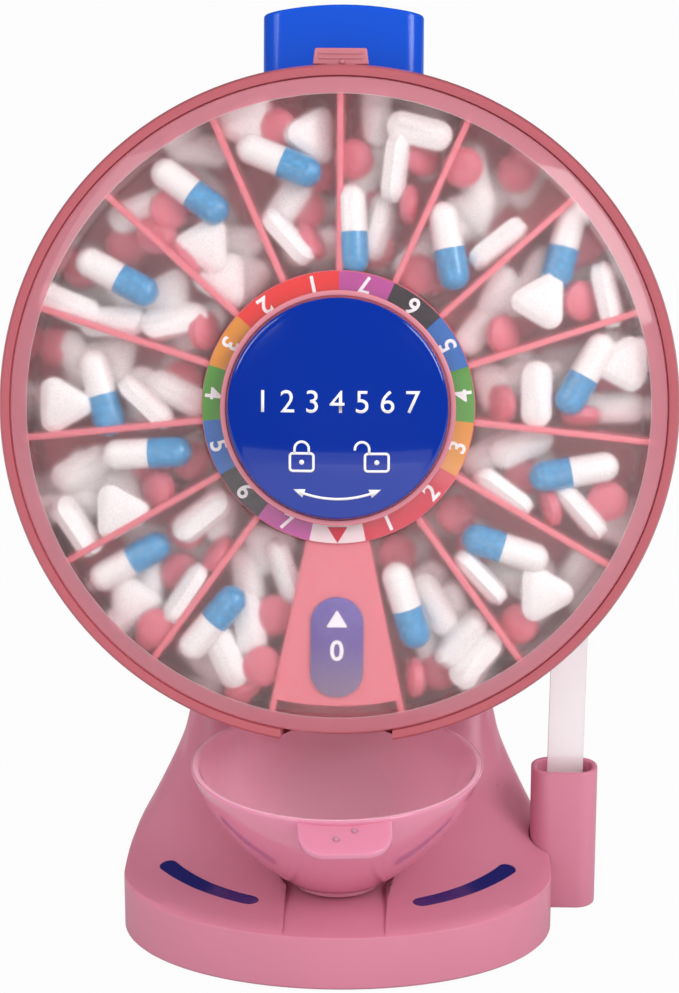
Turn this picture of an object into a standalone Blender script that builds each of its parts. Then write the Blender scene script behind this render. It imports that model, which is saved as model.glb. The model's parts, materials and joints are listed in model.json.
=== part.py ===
"""Desk-top weekly pill dispenser: a tilted wheel of fourteen compartments on a stand.

A press on the top button turns the carousel one step, and the next compartment empties through
the drum's bottom outlet into a pull-out bowl. Units are metres, +Z is up, the front is -Y.
"""
import math

import bmesh
import bpy
from mathutils import Matrix, Vector

# Fits and small common sizes
SEAT_GAP = 0.0003
RUNNING_GAP = 0.0004
OVERRUN = 0.002
WELD = 0.0000002
ROUND_STEPS = 48
MIDDLE_STEPS = 32
SMALL_STEPS = 16
PIN_STEPS = 8
SMOOTH_ANGLE = math.radians(35)

# Where the object stands: the table is Z = 0, and the base's widest line lies this far behind the origin
BASE_Y = -0.0148
FOOT_RADIUS = 0.0050
FOOT_STAND = 0.0006
FOOT_THICKNESS = 0.0015

# Base of the stand
BASE_HALF_WIDTH = 0.0531
BASE_FRONT = 0.0369
BASE_REAR = 0.0500
BASE_HEIGHT = 0.0150
BASE_EDGE = 0.0006
BASE_REAR_POWER = 3.2
FOOT_FRONT_SIDE_INSET = 0.0171
FOOT_REAR_SIDE_INSET = 0.0271
FOOT_FRONT_INSET = 0.0209
FOOT_REAR_INSET = 0.0170
FOOT_FRONT_X = BASE_HALF_WIDTH - FOOT_FRONT_SIDE_INSET
FOOT_REAR_X = BASE_HALF_WIDTH - FOOT_REAR_SIDE_INSET
FOOT_FRONT_Y = FOOT_FRONT_INSET - BASE_FRONT
FOOT_REAR_Y = BASE_REAR - FOOT_REAR_INSET
BASE_SCREW_FRONT_SIDE_INSET = 0.0281
BASE_SCREW_REAR_SIDE_INSET = 0.0101
BASE_SCREW_FRONT_INSET = 0.0159
BASE_SCREW_FRONT_X = BASE_HALF_WIDTH - BASE_SCREW_FRONT_SIDE_INSET
BASE_SCREW_REAR_X = BASE_HALF_WIDTH - BASE_SCREW_REAR_SIDE_INSET
BASE_SCREW_FRONT_Y = BASE_SCREW_FRONT_INSET - BASE_FRONT
BASE_SCREW_REAR_Y = 0.0030
SHELL_WALL = 0.0022
BASE_PLATE_THICKNESS = 0.0026
STAND_STEPS = 36

# Bowl
BOWL_Y = -0.0054
BOWL_RIM_RADIUS = 0.0357
BOWL_RIM_Z = 0.0464
BOWL_WALL = 0.0018
BOWL_FOOT_RADIUS = 0.0107
BOWL_FOOT_HEIGHT = 0.0024
BOWL_BELLY_RADIUS = 0.0137
BOWL_BELLY_BOW = 0.0036
BOWL_FLOOR = 0.0020
BOWL_STEPS = 6
BOWL_TURN = math.radians(4.5)
BOWL_TRAVEL = 0.0850
BOWL_CLEARANCE = 0.0016
TAB_HALF_WIDTH = 0.0110
TAB_LENGTH = 0.0088
TAB_SLOPE = math.radians(22)
TAB_BELOW_RIM = 0.0010
TAB_THICKNESS = 0.0018
TAB_CORNER = 0.0065
DOT_RADIUS = 0.0008
DOT_HEIGHT = 0.0004
DOT_SPACING = 0.0044
DOT_INSET = 0.0062
DOT_STEP = 0.0026

# Ramp behind the base's top edge, alcove for the bowl, and pylon
RAMP_START = 0.0340
ALCOVE_DEPTH = 0.0330
RAMP_TOP_BELOW_BOWL_RIM = 0.0024
RAMP_TOP = BOWL_RIM_Z - RAMP_TOP_BELOW_BOWL_RIM
ALCOVE_ABOVE_BOWL = 0.0035
ALCOVE_TOP = BOWL_RIM_Z + ALCOVE_ABOVE_BOWL
WAIST_HALF_WIDTH = 0.0366
SHOULDER_HALF_WIDTH = 0.0198
PYLON_POWER = 6.0

# Drum, from the carousel's vanes outwards to its swollen side
VANE_RADIUS = 0.0764
VANE_CLEARANCE = 0.0008
DRUM_BORE = VANE_RADIUS + VANE_CLEARANCE
COVER_SEAT_WIDTH = 0.0018
COVER_SEAT_RADIUS = DRUM_BORE + COVER_SEAT_WIDTH
COVER_SEAT_DEPTH = 0.0030
DRUM_RIM_WIDTH = 0.0018
DRUM_RIM_RADIUS = COVER_SEAT_RADIUS + DRUM_RIM_WIDTH
DRUM_SWELL = 0.0014
DRUM_RADIUS = DRUM_RIM_RADIUS + DRUM_SWELL
DRUM_DEPTH = 0.0260
DRUM_SWELL_DEPTH = 0.0120
DRUM_HEEL = 0.0040
DRUM_FLOOR = 0.0020
DRUM_EDGE = 0.0005
OUTLET_WIDTH = 0.0270
OUTLET_DEPTH = 0.0218
OUTLET_REACH = 0.0164
OUTLET_TOP_V = OUTLET_REACH - VANE_RADIUS

# Wheel axis: its centre on the drum's front plane, how far it leans back, and its height, at which
# the drum's lower rear edge just clears the height of the bowl's rim
WHEEL_Y = 0.0070
WHEEL_TILT = math.radians(13.5)
DRUM_ABOVE_BOWL = 0.0005
WHEEL_ABOVE_BOWL = DRUM_RADIUS * math.cos(WHEEL_TILT) + DRUM_DEPTH * math.sin(WHEEL_TILT)
# To the nearest hundredth of a millimetre
WHEEL_HEIGHT = round(BOWL_RIM_Z + DRUM_ABOVE_BOWL + WHEEL_ABOVE_BOWL, 5)
SECTOR_COUNT = 15
SECTOR = 2 * math.pi / SECTOR_COUNT
DOWN = -math.pi / 2

# Pylon seen from the wheel: its front wall stands just behind the drum, and its shoulder below the
# drum's top
PYLON_FOOT_INSIDE_DRUM = 0.0077
PYLON_FOOT_V = PYLON_FOOT_INSIDE_DRUM - DRUM_RADIUS
SHOULDER_INSIDE_DRUM = 0.0147
SHOULDER_V = DRUM_RADIUS - SHOULDER_INSIDE_DRUM
PYLON_FRONT_W = -(DRUM_DEPTH + SEAT_GAP)
PYLON_DEPTH = 0.0240
PYLON_REAR_W = PYLON_FRONT_W - PYLON_DEPTH
FRONT_WALL_BACK_W = PYLON_FRONT_W - SHELL_WALL
REAR_COVER_THICKNESS = 0.0027
REAR_SPLIT = REAR_COVER_THICKNESS + SEAT_GAP
REAR_COVER_FOOT = 0.0200
REAR_COVER_BELOW_SHOULDER = 0.0015
REAR_COVER_TOP_V = SHOULDER_V - REAR_COVER_BELOW_SHOULDER

# Carousel
VANE_THICKNESS = 0.0016
VANE_TOP_W = -0.0013
TRAY_FLOOR = 0.0015
TRAY_LIFT = 0.0014
TRAY_BACK_W = -(DRUM_DEPTH - DRUM_FLOOR - TRAY_LIFT)
TRAY_TOP_W = TRAY_BACK_W + TRAY_FLOOR
HUB_RADIUS = 0.0330
HUB_WALL = 0.0016
HUB_FACE_W = -0.0009
HUB_RECESS_RADIUS = 0.0160
HUB_RECESS_W = -0.0110
BLIND_END_INSET = 0.0042
BLIND_END_RADIUS = VANE_RADIUS - BLIND_END_INSET
BLIND_PROUD = 0.0002
BLIND_FLOOR_OVERRUN = 0.0005

# Axle, bush and the wheel's bearing tube
AXLE_RADIUS = 0.0040
AXLE_THREAD_RADIUS = 0.0030
BUSH_WALL = 0.0010
TUBE_WALL = 0.0018
TUBE_BORE = AXLE_RADIUS + SEAT_GAP + BUSH_WALL + SEAT_GAP
TUBE_RADIUS = TUBE_BORE + TUBE_WALL
THRUST_FLANGE_RADIUS = 0.0078
THRUST_FLANGE = 0.0015
AXLE_POST_RADIUS = 0.0054
AXLE_FRONT_W = -0.0016
NUT_RADIUS = 0.0055
NUT_THICKNESS = 0.0024

# Ratchet behind the drum
RATCHET_TIP_RADIUS = 0.0210
RATCHET_ROOT_RADIUS = 0.0185
RATCHET_THICKNESS = 0.0050
RATCHET_BEHIND_WALL = 0.0030
RATCHET_FRONT_W = FRONT_WALL_BACK_W - RATCHET_BEHIND_WALL
RATCHET_BACK_W = RATCHET_FRONT_W - RATCHET_THICKNESS
RATCHET_STEEP_ANGLE = SECTOR / 2
RAMP_POINTS = 3
SLEEVE_WALL = 0.0016
SLEEVE_RADIUS = TUBE_RADIUS + SEAT_GAP + SLEEVE_WALL
KEY_WIDTH = 0.0020
KEY_HEIGHT = 0.0010
KEY_LENGTH = 0.0040
CLIP_THICKNESS = 0.0009
CLIP_WIDTH = 0.0018
CLIP_GROOVE = 0.0005
CLIP_GAP = math.radians(60)
TUBE_END = 0.0012

# Mechanism plate, which carries the axle and the holding pawl
PLATE_BEHIND_RATCHET = 0.0050
PLATE_FRONT_W = RATCHET_BACK_W - PLATE_BEHIND_RATCHET
PLATE_THICKNESS = 0.0020
PLATE_HALF_WIDTH = 0.0240
PLATE_TOP_V = 0.0300
PLATE_BOTTOM_V = -0.0290
PLATE_CORNER = 0.0040
POST_RADIUS = 0.0032
POST_PLACES = {
    "lower_left": (-0.0125, -0.0250),
    "lower_right": (0.0180, -0.0215),
    "upper": (-0.0100, 0.0262),
}

# Pawls: thin fingers that flex over the ratchet's teeth
PAWL_THICKNESS = 0.0014
PAWL_WIDTH = 0.0042
PAWL_NOSE = 0.0010
PAWL_NOSE_HEIGHT = 0.0024
PAWL_BLOCK_WIDTH = 0.0050
PAWL_BLOCK_HEIGHT = 0.0070
PAWL_CLEARANCE = 0.0005
DRIVE_BLOCK_V = 0.0200
HOLD_BLOCK_V = -0.0150

# Button, its plunger and springs
BUTTON_TRAVEL = 0.0090
BUTTON_HALF_WIDTH = 0.0198
BUTTON_DEPTH = 0.0240
BUTTON_ABOVE_DRUM = 0.0156
BUTTON_TOP_V = DRUM_RADIUS + BUTTON_ABOVE_DRUM
BUTTON_SPARE = 0.0010
BUTTON_SKIRT_V = SHOULDER_V + BUTTON_TRAVEL + BUTTON_SPARE
BUTTON_WALL = 0.0018
BUTTON_CORNER = 0.0050
BUTTON_CROWN = 0.0024
BUTTON_EDGE = 0.0008
NUB_RADIUS = 0.0010
NUB_HEIGHT = 0.0005
NUB_SPACING = 0.0041
BUTTON_ROOF_V = BUTTON_TOP_V - BUTTON_CROWN - BUTTON_WALL
NECK_TOP_V = BUTTON_ROOF_V - BUTTON_TRAVEL - RUNNING_GAP
NECK_WALL = 0.0018
NECK_CORNER = 0.0020
CROSSHEAD_HALF_WIDTH = 0.0150
CROSSHEAD_BELOW_ROOF = 0.0096
CROSSHEAD_TOP_V = BUTTON_ROOF_V - CROSSHEAD_BELOW_ROOF
CROSSHEAD_HEIGHT = 0.0070
CROSSHEAD_DEPTH = 0.0100
BAR_INNER_U = 0.0090
BAR_THICKNESS = 0.0025
BAR_BOTTOM_V = 0.0190
BUTTON_POST_RADIUS = 0.0030
BUTTON_POST_U = 0.0040
SPRING_RADIUS = 0.0026
SPRING_WIRE_RADIUS = 0.00035
SPRING_TURNS = 7
SPRING_POINTS_PER_TURN = 8
SPRING_U = 0.0110
SHELF_BELOW_SHOULDER = 0.0195
SHELF_TOP_V = SHOULDER_V - SHELF_BELOW_SHOULDER
SHELF_THICKNESS = 0.0020
SHELF_HALF_WIDTH = 0.0155

# Cover
COVER_RADIUS = COVER_SEAT_RADIUS - SEAT_GAP
COVER_WALL = 0.0016
COVER_BEVEL_WIDTH = 0.0053
COVER_FACE_RADIUS = COVER_RADIUS - COVER_BEVEL_WIDTH
COVER_BEND_SHARE = 1 / 3
COVER_FACE_W = 0.0024
COVER_EDGE_W = 0.0001
COVER_SKIRT = 0.0023
COVER_BORE = 0.0118
TRIM_INNER_RADIUS = 0.0268
TRIM_OUTER_RADIUS = 0.0281
TRIM_HEIGHT = 0.0012

# Lock knob and its bayonet
KNOB_RADIUS = 0.0264
KNOB_SKIRT_W = 0.0028
KNOB_SIDE_HEIGHT = 0.0034
KNOB_DOME = 0.0034
KNOB_WALL = 0.0018
KNOB_FLATTER_INSIDE_SHARE = 1 / 3
KNOB_EDGE = 0.0010
DOME_STEPS = 4
FLANGE_RADIUS = 0.0180
FLANGE_THICKNESS = 0.0023
SLEEVE_TUBE_RADIUS = 0.0114
SLEEVE_TUBE_BORE = 0.0092
SLEEVE_END_W = -0.0080
LUG_HALF_ANGLE = math.radians(20)
LOCK_ANGLE = math.radians(45)
LUG_THICKNESS = 0.0018
AXLE_LUG_RADIUS = 0.0088
KNOB_LUG_RADIUS = 0.0060
KNOB_CLIP_RADIUS = 0.0145
KNOB_CLIP_THICKNESS = 0.0012
KNOB_SCREW_PLACE_RADIUS = 0.0146
KNOB_SCREW_LENGTH = 0.0030

# Labels
LABEL_THICKNESS = 0.0004
LABEL_INNER_RADIUS = 0.0279
LABEL_OUTER_RADIUS = 0.0327
START_LABEL_TOP_SHARE = 64 / 217
START_LABEL_BOTTOM_SHARE = 185 / 217
START_LABEL_TOP_V = -(HUB_RADIUS + (VANE_RADIUS - HUB_RADIUS) * START_LABEL_TOP_SHARE)
START_LABEL_BOTTOM_V = -(HUB_RADIUS + (VANE_RADIUS - HUB_RADIUS) * START_LABEL_BOTTOM_SHARE)
START_LABEL_WIDTH = 0.0127

# Catch on top of the drum's rim
CATCH_WIDTH = 0.0134
CATCH_TOP_WIDTH = 0.0124
CATCH_ABOVE_RIM = 0.0048
CATCH_TOP_V = DRUM_RIM_RADIUS + CATCH_ABOVE_RIM
CATCH_THICKNESS = 0.0022
CATCH_FRONT_W = -0.0036
CATCH_LEG_WIDTH = 0.0070

# Inlays in the base's top
INLAY_THICKNESS = 0.0012
INLAY_CENTRE_Y = 0.0292
INLAY_SIDE_INSET = 0.0015
INLAY_RADIUS = BASE_HALF_WIDTH - INLAY_SIDE_INSET
INLAY_WIDTH = 0.0043
INLAY_START = math.radians(35.5)
INLAY_END = math.radians(66)
INLAY_STEPS = 12

# Tool holder and its flat stick
HOLDER_OUTSIDE_BASE = 0.0034
HOLDER_X = BASE_HALF_WIDTH + HOLDER_OUTSIDE_BASE
HOLDER_Y = 0.0157
HOLDER_WIDTH = 0.0166
HOLDER_DEPTH = 0.0112
HOLDER_HEIGHT = 0.0368
HOLDER_WALL = 0.0014
HOLDER_FLOOR = 0.0020
HOLDER_CORNER = 0.0050
HOLDER_STEPS = 6
TONGUE_WIDTH = 0.0050
TONGUE_LOW = 0.0075
TONGUE_HIGH = 0.0125
TONGUE_LENGTH = 0.0034
BRACKET_THICKNESS = 0.0050
BRACKET_MARGIN = 0.0024
STICK_WIDTH = 0.0090
STICK_THICKNESS = 0.0011
STICK_LENGTH = 0.0920
STICK_CORNER = 0.0020
STICK_LEAN = math.radians(9.8)
STICK_CANT = math.radians(1.2)

# Screws
SCREW_HEAD_RADIUS = 0.0026
SCREW_HEAD_HEIGHT = 0.0014
SCREW_SHANK_RADIUS = 0.0011
SCREW_SLOT_WIDTH = 0.0008
SCREW_SLOT_DEPTH = 0.0006
SCREW_BORE_RADIUS = SCREW_SHANK_RADIUS + SEAT_GAP
SCREW_POCKET_RADIUS = SCREW_HEAD_RADIUS + SEAT_GAP
SCREW_BOSS_RADIUS = 0.0030
SCREW_LENGTH = 0.0070
SHORT_SCREW_LENGTH = 0.0042
BUTTON_SCREW_LENGTH = 0.0125
SCREW_SPARE = 0.0006
DRUM_BOSS_RADIUS = 0.0026
DRUM_BOSS_LENGTH = PYLON_FRONT_W - FRONT_WALL_BACK_W
DRUM_SCREW_PLACES = {
    "top_left": (-0.0140, 0.0340),
    "top_right": (0.0140, 0.0340),
    "bottom_left": (-0.0170, -0.0370),
    "bottom_right": (0.0170, -0.0370),
}
BASE_SCREW_PLACES = {
    "front_left": (-BASE_SCREW_FRONT_X, BASE_SCREW_FRONT_Y),
    "front_right": (BASE_SCREW_FRONT_X, BASE_SCREW_FRONT_Y),
    "rear_left": (-BASE_SCREW_REAR_X, BASE_SCREW_REAR_Y),
    "rear_right": (BASE_SCREW_REAR_X, BASE_SCREW_REAR_Y),
}
REAR_SCREW_TOP_V = 0.0380
REAR_SCREW_LOW_X = 0.0160
REAR_SCREW_LOW_Z = 0.0400

# Rings of the ramp: share of the ramp's rise, half-width as a share of the base's, where the ring's
# other end meets the rear as a share of the rise from the base's top to the pylon's bend, place of
# its widest point, and the powers of its front and rear curves
RAMP_RING_SHARES = (
    (0.0000, 0.998, 0.02, 0.40, 2.0, 3.2),
    (0.0104, 0.976, 0.07, 0.45, 2.1, 3.1),
    (0.0860, 0.921, 0.14, 0.50, 2.4, 3.0),
    (0.1720, 0.873, 0.22, 0.50, 2.6, 3.0),
    (0.3100, 0.819, 0.30, 0.50, 2.8, 3.1),
    (0.4500, 0.773, 0.38, 0.50, 3.0, 3.3),
    (0.6200, 0.743, 0.46, 0.50, 3.2, 3.6),
    (0.7900, 0.715, 0.54, 0.50, 3.4, 4.0),
    (0.9650, 0.703, 0.61, 0.50, 3.6, 4.5),
)
# Rear ends of the alcove's two rings, and how much thicker than a wall its sloping ceiling is
ALCOVE_REAR_SHARES = (0.64, 0.65)
CEILING_SHARE = 1.4
# Rings of the pylon below its bend: share of the way from its foot to the bend, half-width as a
# share of the way from the waist to the shoulder, rear end as in the table above
PYLON_RING_SHARES = (
    (0.00, 0.12, 0.72),
    (0.29, 0.28, 0.86),
    (0.69, 0.42, 0.94),
    (1.00, 0.47, 1.00),
)
# Rings of the pylon above its bend: share of the way up to the shoulder, half-width as above
UPPER_RING_SHARES = ((0.27, 0.50), (0.60, 0.57), (0.81, 0.75), (1.00, 1.00))

parts = None
cutters = None
ALONG_X = Matrix(((0, 0, 1, 0), (1, 0, 0, 0), (0, 1, 0, 0), (0, 0, 0, 1)))
ALONG_Y = Matrix(((1, 0, 0, 0), (0, 0, 1, 0), (0, 1, 0, 0), (0, 0, 0, 1)))


def clear_scene():
    for obj in list(bpy.data.objects):
        bpy.data.objects.remove(obj, do_unlink=True)


def new_collection(name):
    made = bpy.data.collections.new(name)
    bpy.context.scene.collection.children.link(made)
    return made


def material(name, colour, roughness, metallic=0.0, transmission=0.0):
    made = bpy.data.materials.new(name)
    made.use_nodes = True
    shader = made.node_tree.nodes["Principled BSDF"]
    shader.inputs["Base Color"].default_value = (*colour, 1.0)
    shader.inputs["Roughness"].default_value = roughness
    shader.inputs["Metallic"].default_value = metallic
    shader.inputs["Transmission Weight"].default_value = transmission
    return made


def empty(name, parent, location=(0, 0, 0), rotation=(0, 0, 0)):
    made = bpy.data.objects.new(name, None)
    parts.objects.link(made)
    made.parent = parent
    made.location = location
    made.rotation_euler = rotation
    return made


def add(name, mesh, parent, look=None):
    """Links an object with this mesh: a part when it has a look, and a hidden cutter when it has none."""
    obj = bpy.data.objects.new(name, mesh)
    obj.parent = parent
    if look is None:
        cutters.objects.link(obj)
        obj.hide_render = True
        obj.display_type = "WIRE"
    else:
        parts.objects.link(obj)
        if not mesh.materials:
            mesh.materials.append(look)
    return obj


def finished(bm, name="shape", smooth=True):
    """The mesh of a bmesh, with its faces pointing out and its round surfaces smooth."""
    bmesh.ops.recalc_face_normals(bm, faces=bm.faces)
    mesh = bpy.data.meshes.new(name)
    bm.to_mesh(mesh)
    bm.free()
    if smooth:
        mesh.shade_smooth()
        mesh.set_sharp_from_angle(angle=SMOOTH_ANGLE)
    return mesh


def box_mesh(low, high):
    low, high = Vector(low), Vector(high)
    bm = bmesh.new()
    place = Matrix.Translation((low + high) / 2) @ Matrix.Diagonal((*(high - low), 1))
    bmesh.ops.create_cube(bm, size=1, matrix=place)
    return finished(bm, smooth=False)


def rod_mesh(radius, foot, top, steps=SMALL_STEPS):
    foot, top = Vector(foot), Vector(top)
    run = top - foot
    place = Matrix.Translation((foot + top) / 2) @ run.to_track_quat("Z", "Y").to_matrix().to_4x4()
    bm = bmesh.new()
    bmesh.ops.create_cone(
        bm, cap_ends=True, segments=steps, radius1=radius, radius2=radius, depth=run.length, matrix=place
    )
    return finished(bm)


def plate_mesh(outlines, low, high, turn=None):
    """A flat sheet between two heights. The first outline is its edge, and any others are holes."""
    curve = bpy.data.curves.new("outline", "CURVE")
    curve.dimensions = "2D"
    curve.fill_mode = "BOTH"
    curve.extrude = (high - low) / 2
    for outline in outlines:
        spline = curve.splines.new("POLY")
        spline.points.add(len(outline) - 1)
        for point, (x, y) in zip(spline.points, outline):
            point.co = (x, y, 0, 1)
        spline.use_cyclic_u = True
    holder = bpy.data.objects.new("outline", curve)
    bpy.context.scene.collection.objects.link(holder)
    bpy.context.view_layer.update()
    graph = bpy.context.evaluated_depsgraph_get()
    flat = bpy.data.meshes.new_from_object(holder.evaluated_get(graph))
    bpy.data.objects.remove(holder)
    bpy.data.curves.remove(curve)
    bm = bmesh.new()
    bm.from_mesh(flat)
    bpy.data.meshes.remove(flat)
    bmesh.ops.remove_doubles(bm, verts=bm.verts, dist=WELD)
    bm.transform(Matrix.Translation((0, 0, (low + high) / 2)))
    if turn:
        bm.transform(turn)
    return finished(bm)


def profile_mesh(profile):
    """The half outline of a turned shape, from (radius, height) points, running down its outer side."""
    ends = list(zip(profile, profile[1:] + profile[:1]))
    if sum(a[0] * b[1] - b[0] * a[1] for a, b in ends) > 0:
        profile = profile[::-1]
    count = len(profile)
    edges = [(i, (i + 1) % count) for i in range(count)]
    on_axis = [edge for edge in edges if profile[edge[0]][0] == 0 and profile[edge[1]][0] == 0]
    edges = [edge for edge in edges if edge not in on_axis]
    mesh = bpy.data.meshes.new("profile")
    mesh.from_pydata([(r, 0, z) for r, z in profile], edges, [])
    return mesh


def turned(name, profile, parent, look=None, steps=ROUND_STEPS):
    """A profile of (radius, height) points, turned about the Z axis of its parent."""
    obj = add(name, profile_mesh(profile), parent, look)
    screw = obj.modifiers.new("turn", "SCREW")
    screw.steps = screw.render_steps = steps
    screw.use_merge_vertices = True
    screw.merge_threshold = 0.00001
    screw.use_smooth_shade = True
    return obj


def boolean(obj, operation, others, solver="EXACT"):
    for other in others:
        modifier = obj.modifiers.new(other.name, "BOOLEAN")
        modifier.operation = operation
        modifier.solver = solver
        modifier.object = other


def cut(obj, *others, solver="EXACT"):
    boolean(obj, "DIFFERENCE", others, solver)


def join(obj, *others, solver="EXACT"):
    boolean(obj, "UNION", others, solver)


def keep(obj, other):
    boolean(obj, "INTERSECT", (other,))


def bevel(obj, width, segments=2):
    modifier = obj.modifiers.new("edge", "BEVEL")
    modifier.width = width
    modifier.segments = segments
    modifier.limit_method = "ANGLE"
    modifier.angle_limit = math.radians(50)


def box(name, low, high, parent, look=None):
    return add(name, box_mesh(low, high), parent, look)


def rod(name, radius, foot, top, parent, look=None, steps=SMALL_STEPS):
    return add(name, rod_mesh(radius, foot, top, steps), parent, look)


def plate(name, outlines, low, high, parent, look=None, turn=None):
    return add(name, plate_mesh(outlines, low, high, turn), parent, look)


def arc(radius, start, end, steps, centre=(0, 0)):
    """Points on a circle, from one angle to another, both ends included."""
    turn = (end - start) / steps
    return [
        (centre[0] + radius * math.cos(start + turn * i), centre[1] + radius * math.sin(start + turn * i))
        for i in range(steps + 1)
    ]


def rounded_rectangle(left, right, bottom, top, radius, steps=5):
    quarter = math.pi / 2
    corners = (
        (right - radius, bottom + radius, -quarter),
        (right - radius, top - radius, 0),
        (left + radius, top - radius, quarter),
        (left + radius, bottom + radius, 2 * quarter),
    )
    return [p for x, y, a in corners for p in arc(radius, a, a + quarter, steps, (x, y))]


def circle(radius, steps, centre=(0, 0)):
    return arc(radius, 0, 2 * math.pi, steps, centre)[:-1]


def ring_sector(inner, outer, start, end, steps):
    return arc(outer, start, end, steps) + arc(inner, end, start, steps)


def loft_mesh(rings):
    """A closed body through rings of as many points each, with a cap at either end."""
    bm = bmesh.new()
    rows = [[bm.verts.new(point) for point in ring] for ring in rings]
    count = len(rows[0])
    for low, high in zip(rows, rows[1:]):
        for i in range(count):
            j = (i + 1) % count
            bm.faces.new((low[i], low[j], high[j], high[i]))
    bm.faces.new(rows[0][::-1])
    bm.faces.new(rows[-1])
    return finished(bm)


def power_curve(value, power):
    return math.copysign(abs(value) ** (2 / power), value)


def wheel_point(v, w):
    """Y and Z in the stand's frame of a point on the wheel's middle plane."""
    up, out = Vector((math.sin(WHEEL_TILT), math.cos(WHEEL_TILT))), Vector(
        (-math.cos(WHEEL_TILT), math.sin(WHEEL_TILT))
    )
    return Vector((WHEEL_Y, WHEEL_HEIGHT)) + up * v + out * w


def stand_ring(front, rear, half_width, centre, front_power, rear_power, lift_power=1, inset=0):
    """A ring from a front to a rear point, each (y, z), rounded with powers, and inset by a wall."""
    front, rear = Vector(front), Vector(rear)
    length = (rear - front).length
    ring = []
    for i in range(STAND_STEPS):
        angle = 2 * math.pi * i / STAND_STEPS
        power = front_power if math.sin(angle) < 0 else rear_power
        reach = length * (centre if math.sin(angle) < 0 else 1 - centre) - inset
        x = (half_width - inset) * power_curve(math.cos(angle), power)
        share = centre + reach * power_curve(math.sin(angle), power) / length
        y = front.x + (rear.x - front.x) * share
        z = front.y + (rear.y - front.y) * max(share, 0) ** lift_power
        ring.append((x, y, z))
    return ring


def base_ring(z, inset=0):
    centre = BASE_FRONT / (BASE_FRONT + BASE_REAR)
    return stand_ring(
        (-BASE_FRONT, z), (BASE_REAR, z), BASE_HALF_WIDTH, centre, 2, BASE_REAR_POWER, inset=inset
    )


def bend_z():
    """Height at which the rear line turns from upright to the wheel's lean."""
    lean = (BASE_REAR - wheel_point(0, PYLON_REAR_W).x) / math.sin(WHEEL_TILT)
    return wheel_point(lean, PYLON_REAR_W).y


def bend_v():
    return (BASE_REAR - wheel_point(0, PYLON_REAR_W).x) / math.sin(WHEEL_TILT)


def rear_z(share):
    return BASE_HEIGHT + (bend_z() - BASE_HEIGHT) * share


def pylon_half_width(share):
    return WAIST_HALF_WIDTH + (SHOULDER_HALF_WIDTH - WAIST_HALF_WIDTH) * share


def ramp_front_y(z):
    """How far back the ramp's middle line is at a height: it steepens as a cube."""
    rise = max(z - BASE_HEIGHT, 0) / (RAMP_TOP - BASE_HEIGHT)
    return -RAMP_START + (RAMP_START + ALCOVE_DEPTH) * rise ** (1 / 3)


def ramp_rings(inset=0):
    rings = []
    for rise, width, rear, centre, front_power, rear_power in RAMP_RING_SHARES:
        z = BASE_HEIGHT + (RAMP_TOP - BASE_HEIGHT) * rise
        rings.append(
            stand_ring(
                (ramp_front_y(z), z - inset),
                (BASE_REAR, rear_z(rear)),
                BASE_HALF_WIDTH * width,
                centre,
                front_power,
                rear_power,
                2,
                inset,
            )
        )
    return rings


def alcove_rings(inset=0):
    """The alcove's back wall up to its ceiling, which a wall's inset lifts."""
    half_width = WAIST_HALF_WIDTH
    heights = (ALCOVE_TOP - SHELL_WALL / 2, ALCOVE_TOP + inset * CEILING_SHARE)
    return [
        stand_ring((ALCOVE_DEPTH, z), (BASE_REAR, rear_z(share)), half_width, 0.5, 4, 5.5, 2, inset)
        for share, z in zip(ALCOVE_REAR_SHARES, heights)
    ]


def pylon_rings(inset=0):
    rings = []
    for rise, width, rear in PYLON_RING_SHARES:
        v = PYLON_FOOT_V + (bend_v() - PYLON_FOOT_V) * rise
        front = wheel_point(v + inset * (CEILING_SHARE if rise == 0 else 0), PYLON_FRONT_W)
        lift = 2 - rise
        rings.append(
            stand_ring(
                front,
                (BASE_REAR, rear_z(rear)),
                pylon_half_width(width),
                0.5,
                PYLON_POWER,
                PYLON_POWER,
                lift,
                inset,
            )
        )
    return rings


def upper_rings(inset=0):
    rings = []
    for rise, width in UPPER_RING_SHARES:
        v = bend_v() + (SHOULDER_V - inset - bend_v()) * rise
        ends = wheel_point(v, PYLON_FRONT_W), wheel_point(v, PYLON_REAR_W)
        rings.append(
            stand_ring(*ends, pylon_half_width(width), 0.5, PYLON_POWER, PYLON_POWER, 1, inset)
        )
    return rings


def stand_outer_mesh():
    rings = [
        base_ring(FOOT_STAND, BASE_EDGE),
        base_ring(FOOT_STAND + BASE_EDGE),
        base_ring(BASE_HEIGHT - BASE_EDGE),
    ]
    return loft_mesh(rings + ramp_rings() + alcove_rings() + pylon_rings() + upper_rings())


def stand_cavity_mesh():
    """The shell's inside, a wall's thickness in from its outside all the way, and open below."""
    wall = SHELL_WALL
    rings = [base_ring(FOOT_STAND - OVERRUN, wall), base_ring(BASE_HEIGHT - BASE_EDGE - wall, wall)]
    rings += ramp_rings(wall) + alcove_rings(wall) + pylon_rings(wall) + upper_rings(wall)
    return loft_mesh(rings)


def rear_slab_mesh(gap=0):
    """The space behind the split between the shell and its rear cover, seen from the side."""
    split = BASE_REAR - REAR_SPLIT + gap
    split_w = PYLON_REAR_W + REAR_SPLIT - gap
    bend = (split - wheel_point(0, split_w).x) / math.sin(WHEEL_TILT)
    foot = REAR_COVER_FOOT + gap
    top = REAR_COVER_TOP_V - gap
    far = wheel_point(top, PYLON_REAR_W - PYLON_DEPTH)
    outline = [
        (split, foot),
        (split, wheel_point(bend, split_w).y),
        tuple(wheel_point(top, split_w)),
        tuple(far),
        (far.x, foot),
    ]
    return plate_mesh([outline], -2 * BASE_HALF_WIDTH, 2 * BASE_HALF_WIDTH, ALONG_X)


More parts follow.
